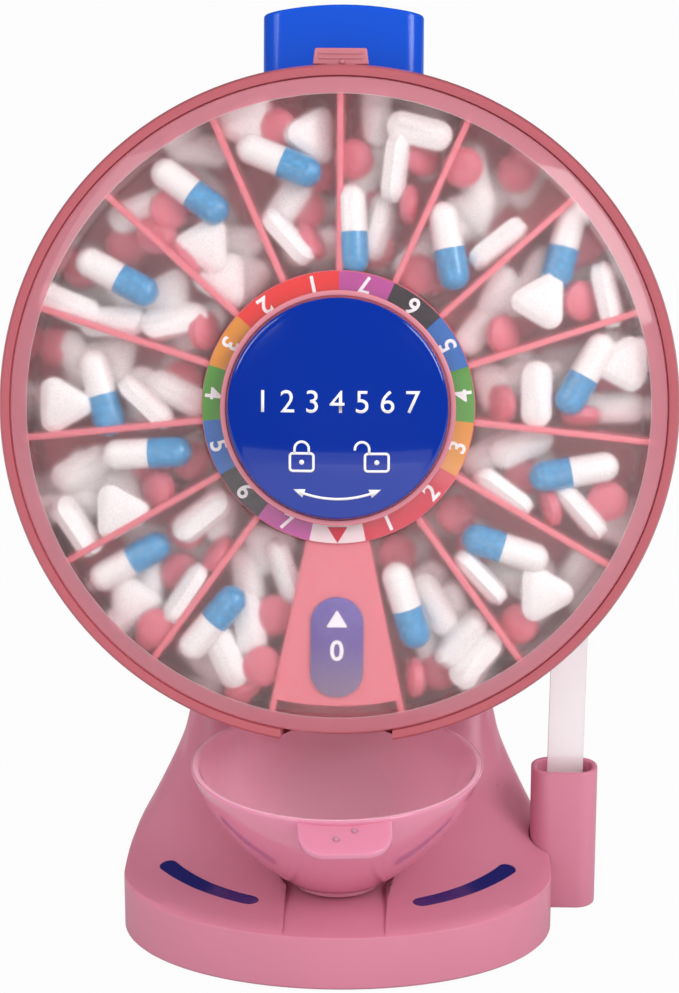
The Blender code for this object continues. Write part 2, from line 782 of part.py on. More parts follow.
def bowl_radius(share):
    """Outer radius of the bowl's belly at a share of the way from its foot to its rim."""
    straight = BOWL_BELLY_RADIUS + (BOWL_RIM_RADIUS - BOWL_BELLY_RADIUS) * share
    return straight + BOWL_BELLY_BOW * 4 * share * (1 - share)


def bowl_outline(clearance=0):
    """(radius, height) points up the outside of the bowl's belly."""
    low = BASE_HEIGHT + SEAT_GAP + BOWL_FOOT_HEIGHT
    shares = [i / BOWL_STEPS for i in range(BOWL_STEPS + 1)]
    return [(bowl_radius(s) + clearance, low + (BOWL_RIM_Z - low) * s) for s in shares]


def bowl_way_cutters(name, frame, wall=0):
    """The room that the bowl needs at rest and its way out to the front, grown by a wall."""
    grow = BOWL_CLEARANCE + wall
    belly = bowl_outline(grow)
    foot = BASE_HEIGHT - wall
    top = BOWL_RIM_Z + grow
    half = [(BOWL_FOOT_RADIUS + grow, foot)] + belly + [(belly[-1][0], top)]
    axis = empty(name + "_axis", frame, (0, BOWL_Y, 0))
    room = turned(name, [(0, foot)] + half + [(0, top)], axis, steps=MIDDLE_STEPS)
    outline = half + [(-x, z) for x, z in reversed(half)]
    start = BOWL_Y - BOWL_TRAVEL
    way = plate(name + "_way", [outline], start, BOWL_Y, frame, turn=ALONG_Y)
    return room, way


def holder_outline(grow=0):
    half_x, half_y = HOLDER_WIDTH / 2 + grow, HOLDER_DEPTH / 2 + grow
    x, y = HOLDER_X, HOLDER_Y
    return rounded_rectangle(
        x - half_x, x + half_x, y - half_y, y + half_y, HOLDER_CORNER + grow, HOLDER_STEPS
    )


def holder_groove_cutters(frame):
    high = HOLDER_HEIGHT
    groove = plate("holder_groove", [holder_outline(SEAT_GAP)], -OVERRUN, high, frame)
    left = HOLDER_X - HOLDER_WIDTH / 2
    slot = box(
        "tongue_slot",
        (left - TONGUE_LENGTH - OVERRUN, HOLDER_Y - TONGUE_WIDTH / 2 - SEAT_GAP, TONGUE_LOW - SEAT_GAP),
        (left + OVERRUN, HOLDER_Y + TONGUE_WIDTH / 2 + SEAT_GAP, TONGUE_HIGH + SEAT_GAP),
        frame,
    )
    return groove, slot


def holder_bracket(frame):
    """A thicker piece of the base's side wall, which the holder's groove is cut into."""
    left = HOLDER_X - HOLDER_WIDTH / 2
    reach = HOLDER_DEPTH / 2 + BRACKET_MARGIN
    return box(
        "holder_bracket",
        (left - BRACKET_THICKNESS, HOLDER_Y - reach, FOOT_STAND + BASE_PLATE_THICKNESS + SEAT_GAP),
        (left + BRACKET_MARGIN / 2, HOLDER_Y + reach, BASE_HEIGHT - SHELL_WALL / 2),
        frame,
    )


def neck_outline(inset=0):
    half = BUTTON_HALF_WIDTH - BUTTON_WALL - RUNNING_GAP - inset
    front = PYLON_FRONT_W - SEAT_GAP - BUTTON_WALL - RUNNING_GAP - inset
    rear = PYLON_FRONT_W - SEAT_GAP - BUTTON_DEPTH + BUTTON_WALL + RUNNING_GAP + inset
    return rounded_rectangle(-half, half, rear, front, NECK_CORNER, 3)


def neck_front_w():
    return PYLON_FRONT_W - SEAT_GAP - BUTTON_WALL - RUNNING_GAP - NECK_WALL


def screw_bore(name, place, parent, front, back, radius=SCREW_BORE_RADIUS):
    """A round cutter along the wheel's axis, at a (u, v) place."""
    return rod(name, radius, (*place, front), (*place, back), parent, steps=PIN_STEPS)


def stand_posts(frame, wheel):
    """Bosses and posts that grow inside the shell, before their bores are cut."""
    found = []
    plate_top = FOOT_STAND + BASE_PLATE_THICKNESS + SEAT_GAP
    roof = add("boss_roof", stand_outer_mesh(), frame)
    roof.location.z = -SHELL_WALL / 2
    for name, (x, y) in BASE_SCREW_PLACES.items():
        ends = (x, y, plate_top), (x, y, BASE_HEIGHT + BASE_PLATE_THICKNESS)
        boss = rod("base_boss_" + name, SCREW_BOSS_RADIUS, *ends, frame, steps=PIN_STEPS)
        keep(boss, roof)
        found.append(boss)
    wall = FRONT_WALL_BACK_W + SHELL_WALL / 2
    for name, place in POST_PLACES.items():
        found.append(
            rod("post_" + name, POST_RADIUS, (*place, wall), (*place, PLATE_FRONT_W + SEAT_GAP), wheel,
                steps=PIN_STEPS)
        )
    split_w = PYLON_REAR_W + REAR_SPLIT
    place = (0, REAR_SCREW_TOP_V)
    found.append(rod("rear_post_top", SCREW_BOSS_RADIUS, (*place, wall), (*place, split_w), wheel,
                     steps=PIN_STEPS))
    for side in (-1, 1):
        x = side * REAR_SCREW_LOW_X
        foot = (x, ramp_front_y(REAR_SCREW_LOW_Z) + SHELL_WALL / 2, REAR_SCREW_LOW_Z)
        top = (x, BASE_REAR - REAR_SPLIT, REAR_SCREW_LOW_Z)
        found.append(rod(f"rear_post_{side}", SCREW_BOSS_RADIUS, foot, top, frame, steps=PIN_STEPS))
    shelf = box(
        "spring_shelf",
        (-SHELF_HALF_WIDTH, SHELF_TOP_V - SHELF_THICKNESS, spring_w() - SPRING_RADIUS - SPRING_WIRE_RADIUS),
        (SHELF_HALF_WIDTH, SHELF_TOP_V, wall),
        wheel,
    )
    return found + [shelf]


def stand_bores(frame, wheel):
    found = []
    plate_top = FOOT_STAND + BASE_PLATE_THICKNESS
    head_top = FOOT_STAND + BASE_PLATE_THICKNESS - base_plate_web()
    for name, (x, y) in BASE_SCREW_PLACES.items():
        foot, top = (x, y, plate_top - OVERRUN), (x, y, head_top + SCREW_LENGTH + SCREW_SPARE)
        found.append(rod("base_bore_" + name, SCREW_BORE_RADIUS, foot, top, frame, steps=PIN_STEPS))
    head_w = PLATE_FRONT_W - PLATE_THICKNESS - SEAT_GAP
    for name, place in POST_PLACES.items():
        found.append(
            screw_bore("post_bore_" + name, place, wheel, head_w, head_w + SCREW_LENGTH + SCREW_SPARE)
        )
    for name, place in DRUM_SCREW_PLACES.items():
        found.append(
            screw_bore("drum_way_" + name, place, wheel, PYLON_FRONT_W + OVERRUN,
                       FRONT_WALL_BACK_W - OVERRUN, DRUM_BOSS_RADIUS + SEAT_GAP)
        )
    head_w = rear_head_w()
    place = (0, REAR_SCREW_TOP_V)
    found.append(screw_bore("rear_bore_top", place, wheel, head_w, head_w + SCREW_LENGTH + SCREW_SPARE))
    for side in (-1, 1):
        x, z = side * REAR_SCREW_LOW_X, REAR_SCREW_LOW_Z
        y = rear_head_y()
        ends = (x, y, z), (x, y - SCREW_LENGTH - SCREW_SPARE, z)
        found.append(rod(f"rear_bore_{side}", SCREW_BORE_RADIUS, *ends, frame, steps=PIN_STEPS))
    hole = SLEEVE_RADIUS + RUNNING_GAP
    found.append(
        rod("sleeve_way", hole, (0, 0, PYLON_FRONT_W + OVERRUN), (0, 0, FRONT_WALL_BACK_W - OVERRUN), wheel)
    )
    return found


def rear_head_y():
    """Where a low rear screw's head bears in its pocket."""
    return BASE_REAR - SCREW_HEAD_HEIGHT


def rear_head_w():
    return PYLON_REAR_W + SCREW_HEAD_HEIGHT


def base_plate_web():
    """What a screw's pocket leaves of the base plate, less the gap under the screw's head."""
    return BASE_PLATE_THICKNESS - SCREW_HEAD_HEIGHT


def inlay_cutters(name, side, frame, grow=0):
    """An upright arc-shaped prism over an inlay, and the stand's surface sunk by the inlay's depth."""
    span = grow / INLAY_RADIUS
    middle = -math.pi / 2
    turn = math.pi / 2 - INLAY_START + span, math.pi / 2 - INLAY_END - span
    half = INLAY_WIDTH / 2 + grow
    inner, outer = INLAY_RADIUS - half, INLAY_RADIUS + half
    ends = [middle + side * angle for angle in turn]
    centre = (0, INLAY_CENTRE_Y)
    outline = arc(outer, ends[0], ends[1], INLAY_STEPS, centre)
    outline += arc(inner, ends[1], ends[0], INLAY_STEPS, centre)
    prism = plate_mesh([outline], BASE_HEIGHT - 2 * OVERRUN, RAMP_TOP)
    sunk = stand_outer_mesh()
    sunk.transform(Matrix.Translation((0, 0, -(INLAY_THICKNESS + grow))))
    return prism, add(name + "_floor", sunk, frame)


def make_inlays(shell, frame, look):
    for name, side in (("inlay_left", -1), ("inlay_right", 1)):
        prism, floor = inlay_cutters(name, side, frame)
        inlay = add(name, prism, frame, look)
        keep(inlay, add(name + "_surface", stand_outer_mesh(), frame))
        cut(inlay, floor)
        prism, floor = inlay_cutters(name + "_recess", side, frame, SEAT_GAP)
        recess = add(name + "_recess", prism, frame)
        cut(recess, floor)
        cut(shell, recess, solver="MANIFOLD")


def make_stand_shell(frame, wheel, look):
    shell = add("stand_shell", stand_outer_mesh(), frame, look)
    neck = plate("neck", [neck_outline()], REAR_COVER_TOP_V, NECK_TOP_V, wheel, turn=ALONG_Y)
    join(shell, neck)
    cavity = add("stand_cavity", stand_cavity_mesh(), frame)
    inner = [neck_outline(NECK_WALL)]
    low, high = SHOULDER_V - 2 * OVERRUN, NECK_TOP_V + OVERRUN
    neck_way = plate("neck_way", inner, low, high, wheel, turn=ALONG_Y)
    exact_fails_here = "MANIFOLD"
    cut(cavity, *bowl_way_cutters("dish", frame, SHELL_WALL), solver=exact_fails_here)
    cut(shell, cavity, neck_way, solver=exact_fails_here)
    join(shell, *stand_posts(frame, wheel), holder_bracket(frame), solver=exact_fails_here)
    cut(shell, add("rear_slab", rear_slab_mesh(), frame), solver=exact_fails_here)
    cut(shell, *bowl_way_cutters("bowl_room", frame), solver=exact_fails_here)
    cut(shell, *holder_groove_cutters(frame), solver=exact_fails_here)
    cut(shell, *stand_bores(frame, wheel), solver=exact_fails_here)
    return shell


def make_rear_cover(frame, wheel, look):
    cover = add("stand_rear_cover", stand_outer_mesh(), frame, look)
    keep(cover, add("rear_slab_inside", rear_slab_mesh(SEAT_GAP), frame))
    place = (0, REAR_SCREW_TOP_V)
    head = rear_head_w() + SEAT_GAP
    cut(cover, screw_bore("cover_bore_top", place, wheel, head + REAR_SPLIT, PYLON_REAR_W))
    cut(cover, screw_bore("cover_pocket_top", place, wheel, head, PYLON_REAR_W - OVERRUN,
                          SCREW_POCKET_RADIUS))
    for side in (-1, 1):
        x, z, y = side * REAR_SCREW_LOW_X, REAR_SCREW_LOW_Z, rear_head_y() - SEAT_GAP
        ends = (x, y - REAR_SPLIT, z), (x, BASE_REAR, z)
        cut(cover, rod(f"cover_bore_{side}", SCREW_BORE_RADIUS, *ends, frame, steps=PIN_STEPS))
        ends = (x, y, z), (x, BASE_REAR + OVERRUN, z)
        cut(cover, rod(f"cover_pocket_{side}", SCREW_POCKET_RADIUS, *ends, frame, steps=PIN_STEPS))
    return cover


def make_base_plate(frame, look):
    inset = SHELL_WALL + SEAT_GAP
    low, high = FOOT_STAND, FOOT_STAND + BASE_PLATE_THICKNESS
    plate_obj = add("base_plate", loft_mesh([base_ring(low, inset), base_ring(high, inset)]), frame, look)
    head = high - base_plate_web() + SEAT_GAP
    for name, (x, y) in BASE_SCREW_PLACES.items():
        bore = rod("plate_bore_" + name, SCREW_BORE_RADIUS, (x, y, low), (x, y, high + OVERRUN), frame,
                   steps=PIN_STEPS)
        pocket = rod("plate_pocket_" + name, SCREW_POCKET_RADIUS, (x, y, low - OVERRUN), (x, y, head),
                     frame, steps=PIN_STEPS)
        cut(plate_obj, bore, pocket)
    for name, (x, y) in foot_places().items():
        pocket = rod("foot_pocket_" + name, FOOT_RADIUS + SEAT_GAP, (x, y, low - OVERRUN),
                     (x, y, FOOT_THICKNESS + SEAT_GAP), frame)
        cut(plate_obj, pocket)
    cut(plate_obj, plate("plate_groove", [holder_outline(SEAT_GAP)], low - OVERRUN, high + OVERRUN, frame))
    return plate_obj


def foot_places():
    return {
        "front_left": (-FOOT_FRONT_X, FOOT_FRONT_Y),
        "front_right": (FOOT_FRONT_X, FOOT_FRONT_Y),
        "rear_left": (-FOOT_REAR_X, FOOT_REAR_Y),
        "rear_right": (FOOT_REAR_X, FOOT_REAR_Y),
    }


def make_feet(frame, look):
    for name, (x, y) in foot_places().items():
        foot = rod("foot_" + name, FOOT_RADIUS, (0, 0, 0), (0, 0, FOOT_THICKNESS), frame, look)
        foot.location = (x, y, 0)


def screw_mesh(length, look):
    """A slotted screw whose head stands on Z = 0, with its shank running up."""
    profile = [
        (0, -SCREW_HEAD_HEIGHT),
        (SCREW_HEAD_RADIUS, -SCREW_HEAD_HEIGHT),
        (SCREW_HEAD_RADIUS, 0),
        (SCREW_SHANK_RADIUS, 0),
        (SCREW_SHANK_RADIUS, length),
        (0, length),
    ]
    pattern = turned("screw_pattern", profile, None, steps=PIN_STEPS)
    reach = SCREW_HEAD_RADIUS + OVERRUN
    low = -SCREW_HEAD_HEIGHT - OVERRUN
    slot = box(
        "screw_slot",
        (-SCREW_SLOT_WIDTH / 2, -reach, low),
        (SCREW_SLOT_WIDTH / 2, reach, SCREW_SLOT_DEPTH - SCREW_HEAD_HEIGHT),
        None,
    )
    cut(pattern, slot)
    bpy.context.view_layer.update()
    graph = bpy.context.evaluated_depsgraph_get()
    mesh = bpy.data.meshes.new_from_object(pattern.evaluated_get(graph))
    mesh.materials.clear()
    mesh.materials.append(look)
    bpy.data.objects.remove(pattern)
    bpy.data.objects.remove(slot)
    return mesh


def place_screw(name, mesh, parent, head, direction, look):
    obj = add(name, mesh, parent, look)
    obj.location = head
    obj.rotation_euler = Vector(direction).to_track_quat("Z", "Y").to_euler()
    return obj


def make_screws(frame, wheel, knob, button, look):
    mesh = screw_mesh(SCREW_LENGTH, look)
    head_z = FOOT_STAND + BASE_PLATE_THICKNESS - base_plate_web()
    for name, (x, y) in BASE_SCREW_PLACES.items():
        place_screw("base_screw_" + name, mesh, frame, (x, y, head_z), (0, 0, 1), look)
    head_w = PLATE_FRONT_W - PLATE_THICKNESS - SEAT_GAP
    for name, place in POST_PLACES.items():
        place_screw("plate_screw_" + name, mesh, wheel, (*place, head_w), (0, 0, 1), look)
    place_screw("rear_screw_top", mesh, wheel, (0, REAR_SCREW_TOP_V, rear_head_w()), (0, 0, 1), look)
    for name, side in (("left", -1), ("right", 1)):
        head = (side * REAR_SCREW_LOW_X, rear_head_y(), REAR_SCREW_LOW_Z)
        place_screw("rear_screw_" + name, mesh, frame, head, (0, -1, 0), look)
    short = screw_mesh(SHORT_SCREW_LENGTH, look)
    head_w = FRONT_WALL_BACK_W - SEAT_GAP
    for name, place in DRUM_SCREW_PLACES.items():
        place_screw("drum_screw_" + name, short, wheel, (*place, head_w), (0, 0, 1), look)
    knob_mesh = screw_mesh(KNOB_SCREW_LENGTH, look)
    for name, side in (("left", -1), ("right", 1)):
        head = (side * KNOB_SCREW_PLACE_RADIUS, 0, knob_screw_w())
        place_screw("knob_screw_" + name, knob_mesh, knob, head, (0, 0, 1), look)
    long = screw_mesh(BUTTON_SCREW_LENGTH, look)
    for name, side in (("left", -1), ("right", 1)):
        v = CROSSHEAD_TOP_V - CROSSHEAD_HEIGHT - SEAT_GAP
        head = (side * BUTTON_POST_U, v, button_post_w())
        place_screw("button_screw_" + name, long, button, head, (0, 1, 0), look)


def make_drum(wheel, look):
    back = -DRUM_DEPTH
    heel = arc(DRUM_HEEL, 0, -math.pi / 2, 4, (DRUM_RADIUS - DRUM_HEEL, back + DRUM_HEEL))
    hole = SLEEVE_RADIUS + RUNNING_GAP
    profile = [
        (COVER_SEAT_RADIUS, -COVER_SEAT_DEPTH),
        (COVER_SEAT_RADIUS, 0),
        (DRUM_RIM_RADIUS - DRUM_EDGE, 0),
        (DRUM_RIM_RADIUS, -DRUM_EDGE),
        (DRUM_RADIUS, -DRUM_SWELL_DEPTH),
        *heel,
        (hole, back),
        (hole, back + DRUM_FLOOR),
        (DRUM_BORE, back + DRUM_FLOOR),
        (DRUM_BORE, -COVER_SEAT_DEPTH),
    ]
    drum = turned("drum_housing", profile, wheel, look)
    half = OUTLET_WIDTH / 2
    outlet = box("outlet_cut", (-half, -DRUM_RADIUS - OVERRUN, -OUTLET_DEPTH),
                 (half, OUTLET_TOP_V, OVERRUN), wheel)
    cut(drum, outlet)
    half = CATCH_LEG_WIDTH / 2 + SEAT_GAP
    rear = CATCH_FRONT_W - CATCH_THICKNESS - SEAT_GAP
    slot = box("catch_slot", (-half, VANE_RADIUS, rear),
               (half, DRUM_RADIUS + OVERRUN, CATCH_FRONT_W + SEAT_GAP), wheel)
    cut(drum, slot)
    end = back - SEAT_GAP - DRUM_BOSS_LENGTH + SEAT_GAP / 2
    for name, place in DRUM_SCREW_PLACES.items():
        join(drum, screw_bore("drum_boss_" + name, place, wheel, back + DRUM_FLOOR / 2, end,
                              DRUM_BOSS_RADIUS))
    head_w = FRONT_WALL_BACK_W - SEAT_GAP
    for name, place in DRUM_SCREW_PLACES.items():
        depth = head_w + SHORT_SCREW_LENGTH + SEAT_GAP
        cut(drum, screw_bore("drum_bore_" + name, place, wheel, depth, end - OVERRUN))
    return drum


def make_catch(wheel, look):
    top = CATCH_TOP_V
    low = (DRUM_RIM_RADIUS + DRUM_RADIUS + SEAT_GAP) / 2
    leg = CATCH_LEG_WIDTH / 2
    outline = [
        (-CATCH_TOP_WIDTH / 2, top),
        (-CATCH_WIDTH / 2, low),
        (-leg, low),
        (-leg, DRUM_BORE + SEAT_GAP),
        (leg, DRUM_BORE + SEAT_GAP),
        (leg, low),
        (CATCH_WIDTH / 2, low),
        (CATCH_TOP_WIDTH / 2, top),
    ]
    return plate("rim_catch", [outline], CATCH_FRONT_W - CATCH_THICKNESS, CATCH_FRONT_W, wheel, look)


def tube_end_w():
    return RATCHET_BACK_W - CLIP_THICKNESS - 2 * SEAT_GAP - TUBE_END


def vane_cutter(wheel):
    """All the radial walls as one cutter of separate boxes."""
    bm = bmesh.new()
    low_r, high_r = HUB_RADIUS - HUB_WALL / 2, VANE_RADIUS
    low_w = TRAY_TOP_W - TRAY_FLOOR / 2
    centre = Vector(((low_r + high_r) / 2, 0, (low_w + VANE_TOP_W) / 2))
    size = (high_r - low_r, VANE_THICKNESS, VANE_TOP_W - low_w)
    for i in range(SECTOR_COUNT):
        turn = Matrix.Rotation(DOWN + SECTOR * (i + 1 / 2), 4, "Z")
        bmesh.ops.create_cube(bm, size=1, matrix=turn @ Matrix.Translation(centre) @ Matrix.Diagonal((*size, 1)))
    return add("vanes", finished(bm, smooth=False), wheel)


def make_vane_wheel(axis, look):
    wall = HUB_RADIUS - HUB_WALL
    groove = TUBE_RADIUS - CLIP_GROOVE
    groove_w = RATCHET_BACK_W - CLIP_THICKNESS - 2 * SEAT_GAP
    recess_back = HUB_RECESS_W - HUB_WALL
    profile = [
        (TUBE_BORE, tube_end_w()),
        (TUBE_RADIUS, tube_end_w()),
        (TUBE_RADIUS, groove_w),
        (groove, groove_w),
        (groove, RATCHET_BACK_W),
        (TUBE_RADIUS, RATCHET_BACK_W),
        (TUBE_RADIUS, recess_back),
        (HUB_RECESS_RADIUS + HUB_WALL, recess_back),
        (HUB_RECESS_RADIUS + HUB_WALL, HUB_FACE_W - HUB_WALL),
        (wall, HUB_FACE_W - HUB_WALL),
        (wall, TRAY_BACK_W),
        (VANE_RADIUS, TRAY_BACK_W),
        (VANE_RADIUS, TRAY_TOP_W),
        (HUB_RADIUS, TRAY_TOP_W),
        (HUB_RADIUS, HUB_FACE_W),
        (HUB_RECESS_RADIUS, HUB_FACE_W),
        (HUB_RECESS_RADIUS, HUB_RECESS_W),
        (TUBE_BORE, HUB_RECESS_W),
    ]
    body = turned("vane_wheel", profile, axis, look)
    join(body, vane_cutter(axis))
    middle = HUB_RADIUS - HUB_WALL / 2
    sides = DOWN - SECTOR / 2, DOWN + SECTOR / 2
    front = VANE_TOP_W + BLIND_PROUD
    cap = ring_sector(middle, BLIND_END_RADIUS, *sides, 8)
    join(body, plate("blind_cap", [cap], front - VANE_THICKNESS, front, axis))
    end = ring_sector(BLIND_END_RADIUS - VANE_THICKNESS, BLIND_END_RADIUS - SEAT_GAP / 2, *sides, 8)
    join(body, plate("blind_end", [end], TRAY_TOP_W - TRAY_FLOOR / 2, front - VANE_THICKNESS / 2, axis))
    inner = HUB_RADIUS + VANE_THICKNESS
    outer = BLIND_END_RADIUS - 2 * VANE_THICKNESS
    side = 2 * VANE_THICKNESS / inner
    hollow = ring_sector(inner, outer, sides[0] + side, sides[1] - side, 8)
    cut(body, plate("blind_hollow", [hollow], TRAY_BACK_W - OVERRUN, TRAY_TOP_W + BLIND_FLOOR_OVERRUN, axis))
    reach = TUBE_RADIUS + KEY_HEIGHT
    key_back = RATCHET_BACK_W + CLIP_THICKNESS
    key = box("tube_keys", (-reach, -KEY_WIDTH / 2, key_back),
              (reach, KEY_WIDTH / 2, key_back + KEY_LENGTH), axis)
    cut(key, rod("tube_key_bore", TUBE_BORE + TUBE_WALL / 2, (0, 0, key_back - OVERRUN),
                 (0, 0, key_back + KEY_LENGTH + OVERRUN), axis))
    join(body, key)
    return body


def make_ratchet(axis, look):
    outline = []
    for i in range(SECTOR_COUNT):
        steep = RATCHET_STEEP_ANGLE + SECTOR * i
        outline.append((RATCHET_TIP_RADIUS * math.cos(steep), RATCHET_TIP_RADIUS * math.sin(steep)))
        for step in range(RAMP_POINTS):
            share = step / RAMP_POINTS
            radius = RATCHET_ROOT_RADIUS + (RATCHET_TIP_RADIUS - RATCHET_ROOT_RADIUS) * share
            angle = steep + SECTOR * share
            outline.append((radius * math.cos(angle), radius * math.sin(angle)))
    wheel = plate("ratchet_wheel", [outline], RATCHET_BACK_W, RATCHET_FRONT_W, axis, look)
    front = TRAY_BACK_W - SEAT_GAP
    join(wheel, rod("ratchet_sleeve", SLEEVE_RADIUS, (0, 0, RATCHET_BACK_W + RATCHET_THICKNESS / 2),
                    (0, 0, front), axis, steps=SMALL_STEPS))
    bore = TUBE_RADIUS + SEAT_GAP
    ends = (0, 0, RATCHET_BACK_W - OVERRUN), (0, 0, front + OVERRUN)
    cut(wheel, rod("ratchet_bore", bore, *ends, axis, steps=SMALL_STEPS))
    reach = TUBE_RADIUS + KEY_HEIGHT + SEAT_GAP
    half = KEY_WIDTH / 2 + SEAT_GAP
    key_top = RATCHET_BACK_W + CLIP_THICKNESS + KEY_LENGTH + SEAT_GAP
    cut(wheel, box("ratchet_keyway", (-reach, -half, RATCHET_BACK_W - OVERRUN), (reach, half, key_top), axis))
    return wheel


def make_ratchet_clip(axis, look):
    inner = TUBE_RADIUS - CLIP_GROOVE + SEAT_GAP
    start, end = CLIP_GAP / 2, 2 * math.pi - CLIP_GAP / 2
    outline = ring_sector(inner, inner + CLIP_WIDTH, start, end, SMALL_STEPS)
    front = RATCHET_BACK_W - SEAT_GAP
    return plate("ratchet_clip", [outline], front - CLIP_THICKNESS, front, axis, look)


def make_bush(axis, look):
    inner = AXLE_RADIUS + SEAT_GAP
    outer = inner + BUSH_WALL
    profile = [(inner, tube_end_w()), (outer, tube_end_w()), (outer, HUB_RECESS_W), (inner, HUB_RECESS_W)]
    return turned("hub_bush", profile, axis, look, SMALL_STEPS)


def make_axle(wheel, look):
    flange_back = HUB_RECESS_W + SEAT_GAP
    flange_front = flange_back + THRUST_FLANGE
    shoulder = PLATE_FRONT_W + SEAT_GAP
    end = PLATE_FRONT_W - PLATE_THICKNESS - SEAT_GAP - NUT_THICKNESS
    profile = [
        (0, end),
        (AXLE_THREAD_RADIUS, end),
        (AXLE_THREAD_RADIUS, shoulder),
        (AXLE_RADIUS, shoulder),
        (AXLE_RADIUS, flange_back),
        (THRUST_FLANGE_RADIUS, flange_back),
        (THRUST_FLANGE_RADIUS, flange_front),
        (AXLE_POST_RADIUS, flange_front),
        (AXLE_POST_RADIUS, AXLE_FRONT_W),
        (0, AXLE_FRONT_W),
    ]
    axle = turned("axle", profile, wheel, look, SMALL_STEPS)
    high = SLEEVE_END_W + LUG_THICKNESS + SEAT_GAP
    for side in (0, 1):
        middle = math.pi * side
        lug = ring_sector(AXLE_POST_RADIUS - KNOB_EDGE, AXLE_LUG_RADIUS, middle - LUG_HALF_ANGLE,
                          middle + LUG_HALF_ANGLE, 6)
        join(axle, plate(f"axle_lug_{side}", [lug], high, high + LUG_THICKNESS, wheel))
    return axle


def make_axle_nut(wheel, look):
    front = PLATE_FRONT_W - PLATE_THICKNESS - SEAT_GAP
    hexagon = circle(NUT_RADIUS, 6)
    hole = circle(AXLE_THREAD_RADIUS + SEAT_GAP, SMALL_STEPS)
    return plate("axle_nut", [hexagon, hole], front - NUT_THICKNESS, front, wheel, look)


def make_mechanism_plate(wheel, look):
    outlines = [
        rounded_rectangle(-PLATE_HALF_WIDTH, PLATE_HALF_WIDTH, PLATE_BOTTOM_V, PLATE_TOP_V, PLATE_CORNER),
        circle(AXLE_THREAD_RADIUS + SEAT_GAP, SMALL_STEPS),
    ]
    outlines += [circle(SCREW_BORE_RADIUS, PIN_STEPS, place) for place in POST_PLACES.values()]
    return plate("mechanism_plate", outlines, PLATE_FRONT_W - PLATE_THICKNESS, PLATE_FRONT_W, wheel, look)


def pawl_outline(side, block_low, block_high, nose_low, nose_high):
    """A block, a finger along the ratchet's side and a nose in front of a tooth's steep face."""
    inner = RATCHET_TIP_RADIUS + PAWL_CLEARANCE
    outer = inner + PAWL_THICKNESS
    block_inner = outer - PAWL_BLOCK_WIDTH
    tip = RATCHET_TIP_RADIUS - PAWL_NOSE
    points = [
        (outer, nose_low),
        (outer, block_high),
        (block_inner, block_high),
        (block_inner, block_low),
        (inner, block_low),
        (inner, nose_high),
        (tip, (nose_low + nose_high) / 2),
        (tip, nose_low),
    ]
    return [(side * u, v) for u, v in points]


def pawl_nose_v(side):
    """Just ahead of the steep face that the nose meets, at the tooth nearest to the wheel's side."""
    if side > 0:
        return RATCHET_TIP_RADIUS * math.sin(RATCHET_STEEP_ANGLE) + SEAT_GAP
    return -SEAT_GAP


def make_drive_pawl(axis, look):
    low = pawl_nose_v(1)
    outline = pawl_outline(1, DRIVE_BLOCK_V, DRIVE_BLOCK_V + PAWL_BLOCK_HEIGHT, low, low + PAWL_NOSE_HEIGHT)
    back = bar_front_w() + SEAT_GAP
    return plate("drive_pawl", [outline], back, back + PAWL_WIDTH, axis, look)


def make_holding_pawl(wheel, look):
    high = pawl_nose_v(-1)
    outline = pawl_outline(-1, HOLD_BLOCK_V, HOLD_BLOCK_V - PAWL_BLOCK_HEIGHT, high, high - PAWL_NOSE_HEIGHT)
    back = PLATE_FRONT_W + SEAT_GAP
    return plate("holding_pawl", [outline], back, back + PLATE_BEHIND_RATCHET + PAWL_WIDTH - 2 * SEAT_GAP,
                 wheel, look)


def bar_front_w():
    return RATCHET_BACK_W - SEAT_GAP - RUNNING_GAP


def spring_w():
    return (neck_front_w() + bar_front_w()) / 2


def button_post_w():
    return (neck_front_w() + neck_front_w() - CROSSHEAD_DEPTH - SHELL_WALL) / 2


def make_plunger(axis, look):
    """A crosshead under the button, with a bar down one side to the drive pawl."""
    bottom = CROSSHEAD_TOP_V - CROSSHEAD_HEIGHT
    front = neck_front_w() - SEAT_GAP - NECK_WALL / 2
    body = box("plunger", (-CROSSHEAD_HALF_WIDTH, bottom, front - CROSSHEAD_DEPTH),
               (CROSSHEAD_HALF_WIDTH, CROSSHEAD_TOP_V, front), axis, look)
    pawl_outer = RATCHET_TIP_RADIUS + PAWL_CLEARANCE + PAWL_THICKNESS
    high = DRIVE_BLOCK_V + PAWL_BLOCK_HEIGHT
    outline = [
        (BAR_INNER_U, BAR_BOTTOM_V),
        (pawl_outer, BAR_BOTTOM_V),
        (pawl_outer, high),
        (CROSSHEAD_HALF_WIDTH - SEAT_GAP, high),
        (CROSSHEAD_HALF_WIDTH - SEAT_GAP, bottom + CROSSHEAD_HEIGHT / 2),
        (BAR_INNER_U, bottom + CROSSHEAD_HEIGHT / 2),
    ]
    join(body, plate("plunger_bar", [outline], bar_front_w() - BAR_THICKNESS, bar_front_w(), axis))
    for side in (-1, 1):
        u, w = side * BUTTON_POST_U, button_post_w()
        ends = (u, bottom - OVERRUN, w), (u, CROSSHEAD_TOP_V + OVERRUN, w)
        cut(body, rod(f"plunger_bore_{side}", SCREW_BORE_RADIUS, *ends, axis, steps=PIN_STEPS))
    return body


